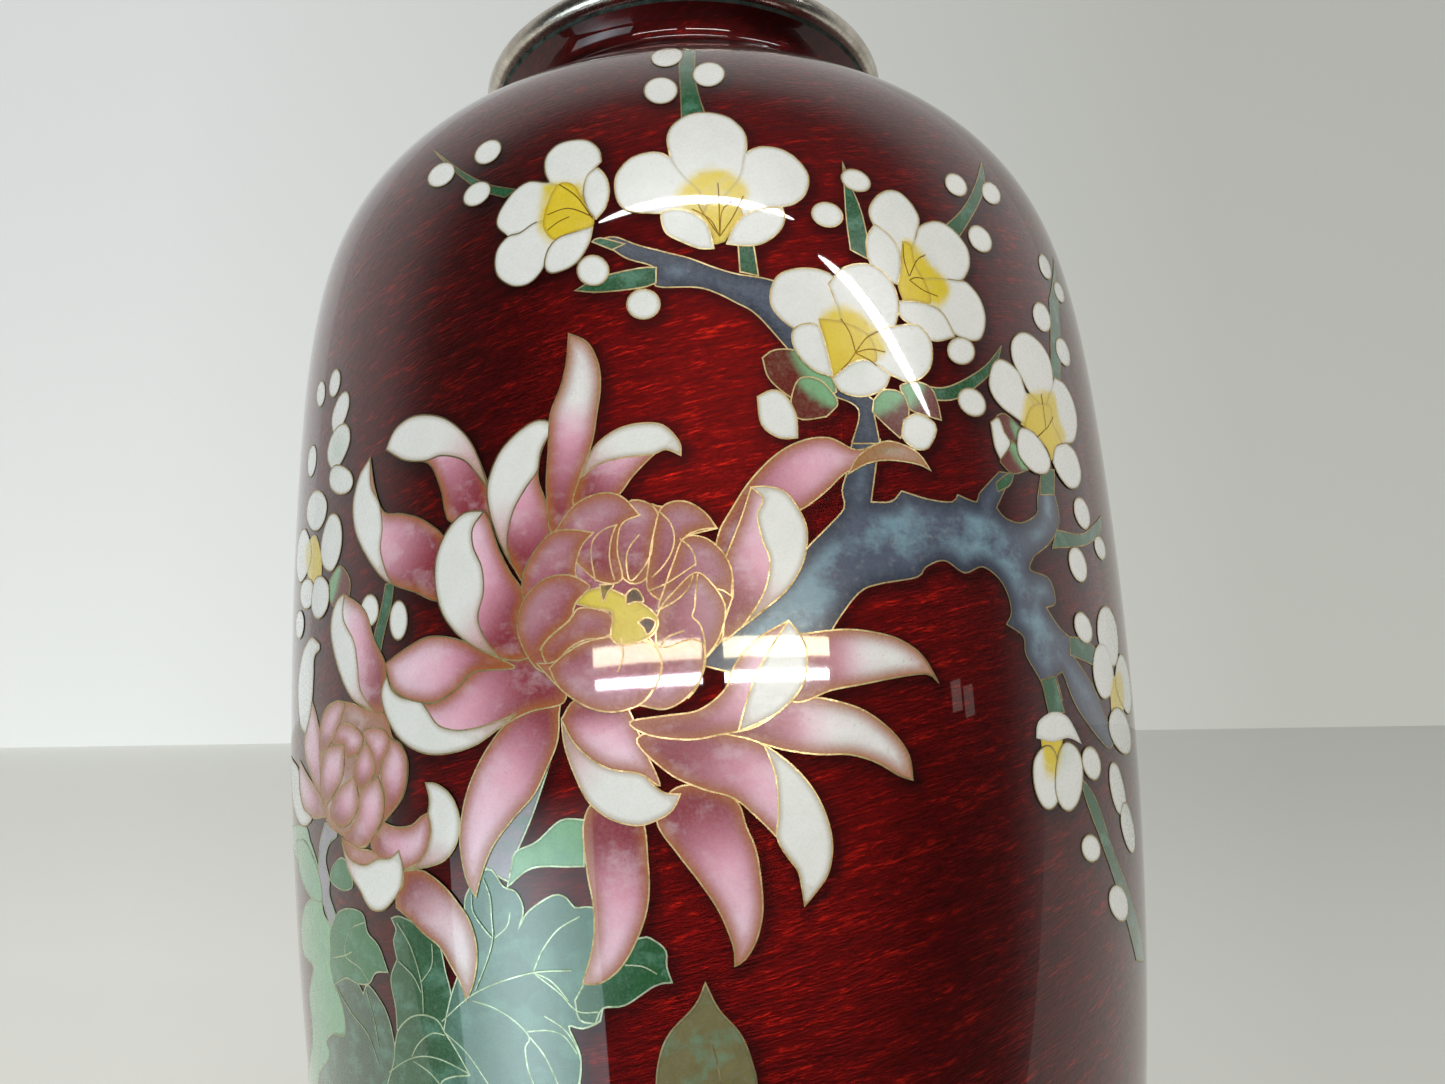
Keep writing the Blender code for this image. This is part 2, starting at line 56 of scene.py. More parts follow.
BRANCHES = [
    ("branch_lower", "bark", None,
     "16.8,152.1* 16.1,150.1 16.2,148.1 14.2,146 11.7,143.7 8.1,139.9 3.3,135.6 -1.3,130.9* 9.6,127.6* "
     "12.4,131.7 14.1,134.7 17.2,138.2 19.8,139.2 24.8,140 26.1,141.2 28.8,142 31.6,140.6 34.5,141.4 "
     "37.1,140 38.4,137.9 38.6,135.8 37.6,134.5* 40.4,133 40.6,130.8 42.9,127.7 44,125.3 47.2,125.2* "
     "46.3,128.2* 47.7,128.7* 51,123.7 58.2,118.9 61.4,119.4* 57.9,124 55.6,126.7 50.3,131.2 "
     "50.6,132.7 47.8,134.4 45.5,136.7* 47.7,137.5 46.8,140.4 43,141.4 44.1,143.2* 47.8,145.1 "
     "50.5,147.6 51,149.7 50.5,151.9 50.6,154.4* 47.6,154.1* 46.2,150.6 45.6,148.7 42.2,147.3 "
     "39.3,147.7 37.9,148.9* 40.8,152.7 41.6,153.6* 39.1,153.6* 35.2,150.5 34.6,149.4 31.7,150.1* "
     "30.8,149.2 27.6,149.3 23.7,150.2* 22.2,148.9 19.6,148.8* 20.7,153.5 21.5,156.4* 17.9,156.2* "
     "17.4,154.3"),
    ("branch_upper", "bark", None,
     "-11.3,182.7* -9.4,182.8 -6.6,181.4 -2.5,179.9 -0.4,179.2 2.7,177.8 5.4,176.9 8.8,176.3 12.9,175* "
     "15.9,164.8* 21.1,161.3* 21,159.4* 21.4,155.9* 17.8,155.8* 19,160 15.6,161.7* 11.1,167 7.5,171.5 "
     "5.2,173.1 1,175.2 -4.5,175.8 -4.6,178.2 -8.2,179.9"),
    ("twig_sprout_left_upper", "green", None,
     "-23.1,192* -27.3,193.8 -31,196.3 -35.5,200 -40.7,204.4* -34,198 -28.9,193.5 -24.7,191.2*"),
    ("twig_c_left", "green", None,
     "20.8,193.6* 21.4,190.2 22.4,186 22.9,179.5* 20.1,180.8* 20.1,185.7"),
    ("twig_c_right", "green", None,
     "49.1,201.3* 47,196.4 43.7,192.1 37.7,185.4* 34.6,185.9* 40.7,191.2"),
    ("twig_between", "green", None,
     "5.7,180.8* 7.5,181.5* 7.7,179.5 7.9,176.7* 5.7,177.2*"),
    ("twig_blade_low", "green", None,
     "-14.5,176.3* -11.4,177.6 -6.4,178.3 -4.4,178.2* -4.5,176.2* -6.5,175.7 -11.4,175.7"),
    ("twig_blade_high", "green", None,
     "-12.3,182.5* -11.3,182.9 -8.2,181.7* -9.8,181.1*"),
    ("twig_d_right", "green", None,
     "42.8,171* 39,167.6 34.2,164.8 30.8,163.6 27.6,163.8* 29.1,161.9* 33,162.4 37.7,165.1 41,167.9"),
    ("twig_e_top", "green", None,
     "67.6,191.9* 63.7,184.9 57.3,169.2* 53.9,168.4* 58.6,181.7*"),
    ("twig_e_stem", "green", None,
     "47.7,154.8* 51.3,155.3* 50.4,151.8* 47,151.4*"),
    ("twig_e_left", "green", None,
     "39.8,153.1* 42.1,154.1* 40.9,152.1 38.5,151* 38.3,152"),
    ("twig_right", "green", None,
     "67,151* 65.2,148.4 57.6,145.7 48.3,144.5* 49.9,147* 56.7,147.1 61.6,148.8"),
    ("twig_f", "green", None,
     "50.2,133.1* 54.5,132.8 59.7,130.8* 57.8,129.2* 50,130.8*"),
    ("twig_g", "green", None,
     "43.1,127.7* 45.9,128.2* 47.4,123.7* 44.1,123.3*"),
    ("twig_low", "green", None,
     "49.6,116* 53.8,112.5 58,106.1 63.6,100 70,93.8 73.1,89.3 66.7,90.6* 60.7,98.6 55.3,106.2 "
     "51.5,112"),
    ("calyx_d_left_a", "calyx", None,
     "16.4,162.1* 15.8,164.6 12.3,167 9.3,167.2 7.7,166.2* 8.4,163.5 11.2,161 13.6,160.4*"),
    ("calyx_d_left_b", "calyx", None,
     "16.2,161.6* 14.5,163.5 12.1,163.7 10.9,161.6 10.8,159.5 12,158.6 14.9,159* 16.4,160.5"),
    ("calyx_d_right_a", "calyx", None,
     "21.1,161.3* 22.8,162.7 25.5,162.1 25.6,159.1 24.2,156.7* 22.3,158.3 20.8,159.8*"),
    ("calyx_d_right_b", "calyx", None,
     "25.5,161.8* 24.9,163.3 27.2,164 29.3,163.5 30.1,161.7 30.4,159.4* 28.1,159.8 26,160.4"),
    ("calyx_e_a", "calyx", None,
     "39.9,161* 41.7,161.5 44.8,159.8* 43.6,158 42,158.1 40.3,159.5*"),
    ("calyx_e_b", "calyx", None,
     "39.9,157* 42.4,157.9 44.7,156.4 45,154.5* 41.6,153.6 39.5,154.9*"),
    ("calyx_petal_d_left", "white", None,
     "6.8,161.4* 8.6,162.2 10.1,161.5 11.2,159.2 11.2,156.4* 9.1,156.4 7.1,158"),
    ("calyx_petal_d_right", "white", None,
     "24.9,159* 26.7,159.9 28.8,159.3 29.5,158.1 28,155.7 26.1,155.4* 24.5,156.8"),
    ("calyx_petal_e", "white", None,
     "38.6,160* 40.2,160.8 41,159 41.9,157.5 39.6,155.2* 38.8,156.9"),
    ("calyx_h", "calyx", None,
     "-56.1,145.8* -53.2,147.3 -50.4,145.1 -50.8,142.5 -53.5,141.5* -56,143.1"),
    ("twig_top", "green", None,
     "0.4,217.2* 2.3,215.6* 1.7,208.3 2,203.9 2.7,200.1* -0.5,199.4* -0.5,205 -0.5,211.2"),
    ("twig_left_low", "green", None,
     "-42.5,143.5* -40.9,143.5* -41.3,141 -42.8,137.1 -43.8,133.8* -46.3,133.7* -44.5,137.8 "
     "-43.1,141.2"),
]
HEARTS = [
    ("heart_a", "yellow", None,
     "-19.1,191.8* -16.8,191.7 -14.9,191 -13.6,191.2* -13.4,188.6 -12,185.9* -12.3,184.5 -14.9,184.1 "
     "-17.1,183.4 -17.8,183* -18.7,184.4 -19.5,185.7 -19.4,188.4"),
    ("heart_b", "yellow", None,
     "-1.6,188.1 0.1,190.2 1.8,191.3 3.4,191.5 5.7,190.8 7.2,189.3 7.4,187.5 5.9,184.6 4.8,182.9 "
     "4.1,181.2* 3.5,181* 2.3,182.9 1.3,184.4 -0.4,185.5 -1.6,186.7"),
    ("heart_c", "yellow", None,
     "28,183.3* 29.4,183.3 30.6,182.2 31.9,180.3 33.6,179.2 34.6,177.5 33.9,176 32.3,174.4* 30.6,174.7 "
     "28.6,174.8 26.7,174.6* 26.2,176.6 27,179.2"),
    ("heart_d", "yellow", None,
     "14.9,171.3* 17.1,172.9 19.8,172.7 22.4,170.4 23.6,167.7 21,166.2 17.7,165.1 16,163.7* 15.6,167.2"),
    ("heart_e", "yellow", None,
     "46.5,165* 51.5,166.3 54.4,166.5 54.7,163.2 56.1,160.5 53.4,158.8 50.7,156.4* 50,157.9 47.6,159.5 "
     "44.5,160.5* 45.7,162.9"),
]
DRAWN_BLOSSOMS = [
    ("blossom_a_petal_1", "bloom", None,
     "-19,193.8 -19,195.9 -17.7,197.5 -15.5,197.9 -13.2,197.4 -11.6,195.7 -11.2,193.8* -12.3,192.5 "
     "-12.9,190.3 -14.8,188.3 -16.9,189.4 -18.3,192.1"),
    ("blossom_a_petal_2", "bloom", None,
     "-19.1,192.1 -21.2,192.7 -23.1,191.9 -24.6,190.3 -25.5,188.6 -25.4,187 -23.7,185.3* -21.9,185.4 "
     "-19.7,185 -16.1,187 -16.2,190.1 -17.3,191.5"),
    ("blossom_a_petal_3", "bloom", None,
     "-23.7,185.3 -25.2,183.9 -25.5,181.7 -24.8,179.8 -22.8,178.3 -20.6,178.2 -18.8,179.7 -17.9,182.1* "
     "-16,184.3 -16.4,186.3 -19.7,186.5 -22.1,185.4"),
    ("blossom_a_middle", "bloomheart", None,
     "-17,191.4 -14.9,191 -13.6,188.6 -12,185.9* -12.3,184.5 -14.9,184.1 -17.1,183.4 -18.8,185.6 "
     "-18.3,188.9"),
    ("blossom_a_petal_4", "bloom", None,
     "-12.2,184.5* -12.7,182.3 -14.2,180 -16.3,179.1 -17.9,179.2 -18.5,180.5 -18,182.4 -16.7,183.7 "
     "-14.6,184.1"),
    ("blossom_a_petal_5", "bloom", None,
     "-11.6,192.8 -10.5,191.3 -10.1,189.1 -10.6,186.9 -11.8,185.5* -12.9,187.2 -13.5,189.6 -13.1,191.9 "
     "-12.3,192.6"),
    ("blossom_b_petal_1", "bloom", None,
     "-2.3,194.2 -2.5,196.6 -1.6,198.6 0.6,200.2 3.3,200.4 6,199.4 7.7,197.1 7.8,194.7 7.3,192.4 "
     "6.8,188.6 4.1,186.4 0.9,186.5 -1.2,188.8 -1.9,192.2"),
    ("blossom_b_petal_2", "bloom", None,
     "-2.2,193.4* -3.7,194.3 -5.7,194.3 -7.7,193.5 -9.2,191.4 -9.3,188.8 -8.4,186.7 -6.4,185.8 "
     "-3.3,185.4* -0.7,185.4 1.5,184.4 1.6,187.9 -0.5,190.6"),
    ("blossom_b_petal_3", "bloom", None,
     "7.4,193.7* 9.4,194.8 12.1,194.7 14.3,193.3 15.6,190.9 14.9,188.2 13.2,186.6 11.5,186.1* "
     "9.2,185.8 6.5,184.6 4,184.3 3.5,186.4 6.3,190.1"),
    ("blossom_b_middle", "bloomheart", None,
     "1.3,184.4* 2.5,186.8 5.4,186.8 6.6,184.7 5.2,182.9 4.1,181.2* 3.5,181* 2.7,180.9 2.5,182.4"),
    ("blossom_b_petal_4", "bloom", None,
     "-3.4,185.5 -1.6,185.9 0.2,185.3 1.8,184 2.4,182.2 2.7,180.3* 0.9,180.4 -1.2,181.4 -2.9,182.5 "
     "-3.5,184"),
    ("blossom_b_petal_5", "bloom", None,
     "4.3,180.9* 5.2,182.9 6.5,184.6 8.5,185.6 11.6,186.1* 11.8,184.4 10.9,182.6 8.8,181 6.6,180.6"),
    ("blossom_c_petal_1", "bloom", None,
     "23.5,186.6 24.6,188.6 26.6,190.1 28.7,190.3 30.4,188.9 31.2,186.8 30.3,184.4* 29.3,181.6 "
     "27.6,180 26.8,182 25.5,183.6 23.9,184.7"),
    ("blossom_c_petal_2", "bloom", None,
     "30.1,184 31,185.6 33.4,186.9 35.6,187 37.7,185.9 39.1,184 38.9,181.7 37.4,179.5 36.1,178.8* "
     "34.2,178.2 31.2,177.7 28.1,177.9 28.6,181.2"),
    ("blossom_c_petal_3", "bloom", None,
     "36.2,178.9* 37.8,178.9 39.8,177.1 40.3,174.3 38.9,171.4 36.7,170.7 34.3,171.2 33.3,172.7 "
     "32.1,174.1* 28.6,174.9 28.2,177.2 31.6,178.5"),
    ("blossom_c_middle", "bloomheart", None,
     "27.8,183* 29.1,182.7 29.4,179.9 30.6,177.6 31,174.9 28.6,174.8 26.7,174.6* 26.2,176.6 27,179.2"),
    ("blossom_c_petal_4", "bloom", None,
     "25.9,174.5* 28.2,174.7 30.6,174.6 32.5,173.9 33.5,172.5 34.2,170.8* 31.4,169.8 29.5,170 "
     "27.8,171.3 26,172.5"),
    ("blossom_c_petal_5", "bloom", None,
     "24,184.8* 22.6,182.8 22.3,180.3 23.1,178.3 24.6,177.1 26.2,176.8* 27,179.2 27.1,181.7 26.2,183.3 "
     "25,184.3"),
    ("blossom_d_petal_1", "bloom", None,
     "9.1,173.4 10.2,176.6 13.4,177.8 17,177.2 19,174.3 19.6,170.2 17.4,167.3 15.4,169 12.7,169.4 "
     "10.3,171.1"),
    ("blossom_d_petal_2", "bloom", None,
     "16.6,175.9* 19,178.3 22.5,179 25.2,177.2 26,174 25,170.8* 23.1,167.7 20.1,166.6 18.1,169.1 "
     "17.5,172.8"),
    ("blossom_d_petal_3", "bloom", None,
     "25.1,171.1* 28.6,171.5 30.2,169.3 29.5,166 26.6,163.9 23.7,164.6* 21.4,165.8 18.3,166.5 "
     "20.4,169.3"),
    ("blossom_d_middle", "bloomheart", None,
     "14.9,171.3* 18.2,171 21.4,169.4 22,166.2 19.1,165.8 15.8,163.7* 15.6,167.2"),
    ("blossom_d_petal_4", "bloom", None,
     "16,163.7* 18.7,165.8 21,166.2 23.7,164.6* 22.5,162.7 19.6,161.6 17,162.1"),
    ("blossom_d_petal_5", "bloom", None,
     "11.4,169.1 12.6,170.4 14.8,170.3 15.6,167.2 16.1,163.9* 13.7,164.7 11.9,166.7"),
    ("blossom_e_petal_1", "bloom", None,
     "48,174 45.3,172.2 44.7,169.6 46,167.4 48.1,164.9 51.6,163.9 53.8,166 54.9,170 54.1,172.4 "
     "51.3,173.9"),
    ("blossom_e_petal_2", "bloom", None,
     "41.7,168.9 40.1,167.6 39.2,164.7 40.8,162.5 44.6,160.9* 47.7,160.4 49.1,163 46.6,165.4* "
     "45.8,167.7 43.8,168.8"),
    ("blossom_e_petal_3", "bloom", None,
     "55.2,169* 58.5,168.7 60.9,166.6 61.1,163.6 58.6,160.5 54.4,159.4* 49.6,159.5 50.6,163.3"),
    ("blossom_e_middle", "bloomheart", None,
     "47.8,163.6 52.5,164.5 52.6,162 54.5,159.6 52.7,157.9 50.7,156.4* 50,157.9 47.6,159.5 45.4,160.4"),
    ("blossom_e_petal_4", "bloom", None,
     "55.8,159.7* 58.5,158.8 59.6,156.1 57.8,153.9 54.8,153.3 52.2,154.6 51,156.3* 52.5,158.7"),
    ("blossom_e_petal_5", "bloom", None,
     "44.1,159.8 47,159.8 49.3,158.2 50.4,156.3 49.2,154.6 46.4,154.2 44.1,155.3 43.1,156.9"),
]
EDGE_BLOSSOMS = [
    ("blossom_f_heart", "yellow", None,
     "62.9,127.9* 67.5,128.8 68.4,124.9 64.9,121.9 61.5,123 61.4,125.6"),
    ("blossom_f_petal_1", (63.5, 133.6), (4.8, 0.4), (-0.5, 4.1), (65.4, 126.3)),
    ("blossom_f_petal_2", (59.8, 128.7), (3.9, 0.2), (-0.1, 3.8), (65.4, 126.3)),
    ("blossom_f_petal_3", (69.5, 127.1), (5.3, 0.2), (-1, 4.2), (65.4, 126.3)),
    ("blossom_f_petal_4", (65.1, 120.7), (5.2, 0.2), (-2.1, 3.2), (65.4, 126.3)),
    ("blossom_g_heart", "yellow", None,
     "42,121* 43.9,120.5 46.5,120.6 44.6,116.2 42.4,116.4*"),
    ("blossom_g_petal_2", (42.8, 116.2), (2.7, -0.1), (-0, 3.9), (45.5, 119.8)),
    ("blossom_g_petal_3", (47.4, 116), (3.2, -0.3), (0.8, 4.2), (45.5, 119.8)),
    ("blossom_g_cap", "white", None,
     "41.2,120.8* 41.8,122.7 44.8,123.8 47.8,123.2 49.8,121.2 50.9,119.6* 47.8,120.5 44.3,120.2"),
    ("blossom_h_heart", "yellow", None,
     "-66.2,152.3* -61.9,152.9 -59.1,149 -59.6,145.6 -64,146.9 -66.5,150.1"),
    ("blossom_h_petal_1", (-62.3, 156.4), (4.6, -1), (0.4, 2.8), (-62, 149.8)),
    ("blossom_h_petal_2", (-56.1, 150.8), (3.3, -0.7), (0.7, 3.9), (-62, 149.8)),
    ("blossom_h_petal_3", (-68.5, 151.1), (5, -0.9), (0.6, 3.8), (-62, 149.8)),
    ("blossom_h_petal_4", (-59.5, 144), (3.4, -0.5), (0.4, 2.9), (-62, 149.8)),
    ("blossom_h_petal_5", (-65.3, 145.2), (3.8, -0.6), (0.3, 2.1), (-62, 149.8)),
    ("blossom_i_petal_1", (-55.1, 168.7), (2.2, -0.9), (1.6, 2.6), (-55.1, 163.5)),
    ("blossom_i_petal_2", (-55.1, 163.9), (3.1, -1.1), (1.7, 2.8), (-55.1, 163.5)),
    ("blossom_i_petal_3", (-54, 159.1), (3.6, -0.5), (-1, 2.2), (-55.1, 163.5)),
    ("blossom_j_petal_1", (61.6, 113.1), (2.9, -0.1), (-1.3, 3.7), (66.1, 111.4)),
    ("blossom_j_petal_2", (65.2, 107.9), (3.2, -0.2), (-1.6, 3.5), (66.1, 111.4)),
]
BUDS = [
    ("bud_01", (-28.6, 199.5), (1.8, 1), (-1.4, 1.8), None),
    ("bud_02", (-36.8, 198.5), (2.1, 0.8), (-1.8, 2), None),
    ("bud_03", (-29.3, 193), (1.9, 0.9), (-1.2, 1.6), None),
    ("bud_04", (-2.5, 214), (2.6, 0.5), (-0.3, 3.5), None),
    ("bud_05", (-3.3, 205.1), (2.4, -0.2), (-0, 2.7), None),
    ("bud_06", (3.8, 208.3), (2.4, 0.3), (0.1, 2.9), None),
    ("bud_07", (-12.2, 178.6), (2, -0.3), (0, 2), None),
    ("bud_08", (-6.1, 173.6), (2, -0.2), (0.1, 1.9), None),
    ("bud_09", (17.5, 185.4), (2, -0.4), (0.6, 1.7), None),
    ("bud_10", (22.3, 191), (1.9, -0.7), (0.9, 1.5), None),
    ("bud_11", (39.9, 194.2), (1.3, -1.2), (1.9, 1.5), None),
    ("bud_12", (48.3, 195.5), (0.9, -1.4), (2.5, 1.6), None),
    ("bud_13", (42.3, 186.4), (1.3, -1.5), (2.1, 1.4), None),
    ("bud_14", (60.3, 187.5), (0.4, -1.9), (2.5, 1.1), None),
    ("bud_15", (64.6, 184.8), (0.6, -1.5), (2.6, 1.1), None),
    ("bud_16", (54.7, 177.9), (0.7, -2), (2.7, 1.1), None),
    ("bud_17", (60.3, 174.1), (0.9, -1.9), (2.6, 1), None),
    ("bud_18", (35, 169), (1.5, -1.1), (1.8, 1.5), None),
    ("bud_19", (35.8, 162.3), (1.5, -1.4), (1.8, 1.2), None),
    ("bud_20", (58.3, 150.2), (0.8, -2.1), (2.6, 0.6), None),
    ("bud_21", (54.8, 142.8), (0.8, -2.3), (2.5, 0.5), None),
    ("bud_22", (64.1, 146), (0.8, -1.6), (2.5, 0.5), None),
    ("bud_23", (54.3, 134.4), (0.8, -2), (2.4, 0.3), None),
    ("bud_24", (53.2, 117.1), (0.5, -2.1), (2.5, 0), None),
    ("bud_25", (51.7, 106.8), (0.4, -1.7), (2.4, -0.1), None),
    ("bud_26", (59.6, 99), (1.1, -2.4), (3.4, -0.3), None),
    ("bud_27", (-45.7, 140.6), (0.1, 2), (-1.9, 0.2), None),
    ("bud_28", (-40, 138.8), (0.1, 2.4), (-1.6, 0.2), None),
    ("bud_29", (-57.6, 173.7), (0.5, 1.9), (-1.9, 0.7), None),
    ("bud_30", (-63.3, 173.8), (0.1, 1.9), (-2.1, 0.7), None),
    ("bud_31", (-65.7, 164.4), (0.3, 2.3), (-2.4, 0.6), None),
    ("bud_32", (-69.2, 141.3), (0.1, 2), (-2.9, 0.3), None),
]
LEAVES = [
    ("stem_between", "stemgrey", None,
     "-17.7,123.7* -20.9,116 -23.2,111.7* -24.3,108.4* -25.9,109.1 -26.7,109.7 -27.6,110* -26.2,112.6 "
     "-24,114.9 -21.6,117.1 -19.1,120.5"),
    ("leaf_edge_light", "leaflight", None,
     "-62.8,104.9 -60.1,104.7 -59.4,103.1 -56.9,101.3 -56.9,98.4 -57,94.8 -54.9,92.9 -54.7,89.4 "
     "-58.8,88.1 -61,85.1 -66.5,81.3 -71,75.8 -79.5,73.4 -80.1,77.5 -70,84.6 -68.4,88.3 -68.8,91.7 "
     "-65.3,95.7 -70.9,96.5 -72.1,99.5 -68.9,102.7"),
    ("leaf_tip_left", "leaflight", None,
     "-81,112.8* -66.9,113.8 -63.7,111.9 -60.6,108.6 -60.7,105.9* -64.9,107.3 -72.8,108.8 -81,110.7"),
    ("leaf_tip_small", "leafmid", None,
     "-56.9,107.6* -55.6,109.3 -53.2,110.4 -51.7,109.8 -50.6,108 -50.6,107 -52.8,106.5 -55.4,106.9"),
    ("stem_small_grey", "stemgrey", None,
     "-57.7,114.5* -54,114.2* -54.2,113 -56.6,111.9 -57.9,109.8 -56.9,107.6 -57.1,105.6 -55.2,102.8 "
     "-56.8,101.5 -59.2,104.1 -60.9,106.3 -60.6,109 -59.6,112.1"),
    ("leaf_behind_left", "leafgrey", None,
     "-57.1,94.7* -53.3,96 -50.6,95.7 -49.3,94.6* -48.1,95.8 -45.4,94.1 -44,92.1 -43.3,89.5* "
     "-43.8,87.4 -45,84.8 -46.2,80.7 -47.6,76.4 -52.2,73.2* -54.6,74.6 -58.4,71.6 -63.6,70.6* "
     "-65.4,73.6 -69.4,75.2 -67.1,81.5 -60.9,85.3 -61.5,87.1 -58.7,88.6 -54.8,89.1 -55,92.2 -56,93.7"),
    ("leaf_left", "leafmid", None,
     "-57.3,101.3* -55,103.5 -51.6,104.4 -48.4,104 -47.5,101.9 -45.3,100.5 -43.7,97.7* -46.2,97.4 "
     "-47.8,96 -50.6,95.7 -53.3,96 -57.1,94.7* -58,97"),
    ("leaf_low_dark", "leafdark", None,
     "-42.5,103.9* -40.9,104.2 -37.7,103.3 -34.8,101.8 -33.8,98.4 -33.2,96.1 -33.4,93.2 -37.8,89.9 "
     "-42.6,91.3* -42.6,93.8 -43.2,97 -41.8,99.3* -42.3,101.4 -41.7,102.6"),
    ("leaf_big", "leafblue", None,
     "-28.1,109.6* -26.6,109.7 -25.1,107.9 -23.6,107.4 -22.7,105.6 -23.4,103.5* -22.1,105.3 -19,107 "
     "-17.4,106.7 -16.5,105.7 -14.5,105.7 -12,104.3 -9.4,102.4 -7.7,102.1 -6.5,101 -6.5,99.4 -6,97.8* "
     "-7.9,97.5 -11.3,95.6 -13.8,95.3 -14.2,94 -16.3,93.2 -17.9,93.4 -17.1,91.5 -16.7,89.8 -17.4,86.9 "
     "-19.7,83.7 -24.9,81.3 -30.5,79.7 -34.8,81.3 -35.9,85.5 -34.9,91 -33.4,95.4 -31.3,99.9 "
     "-30.6,104.9 -30.2,107"),
    ("leaf_right_dark", "leafdark", None,
     "-17,96.1* -13.9,100.2 -9.3,102.4 -7.7,102.1 -6.5,101 -6.5,99.4 -6,97.8* -7.9,97.5 -11.3,95.6 "
     "-13.8,95.3 -14.8,93.7* -16.6,94.1"),
    ("leaf_light_mid", "leaflight", None,
     "-24.6,107.9* -24,109.9 -23.4,111.6 -20.7,112.7 -17.7,114.9 -15,114.9* -15.2,110* -17,110 "
     "-21.4,109.9"),
    ("leaf_small_edge", "leaflight", None,
     "-72.5,111.5* -66.1,111.7 -61,108.4 -59.9,104.7 -65.1,104.9 -70.8,107.6"),
    ("leaf_bottom_dark", "leafdark", None,
     "-43.8,87.4 -43.2,89.5 -42.3,91.4 -40,93 -37.6,93.5 -35.5,93.1 -34.4,91.8* -32.9,90.1 -31.1,87.6* "
     "-34,87.1 -35.8,86 -37.1,82.1 -38.4,77.6 -42.6,74.8* -46.4,77.2 -46.6,81 -45.3,84.8"),
    ("bud_closed", "sepal", None,
     "-2.4,97.6* -1.1,94.9 1.1,92.3 2.2,89.5 2.6,86.5 1.1,82.6 -1.8,79.7 -5.1,79.9 -7.6,82.9 -8.3,86.9 "
     "-7.8,90.2 -6.5,92.7 -3.6,95.4"),
]
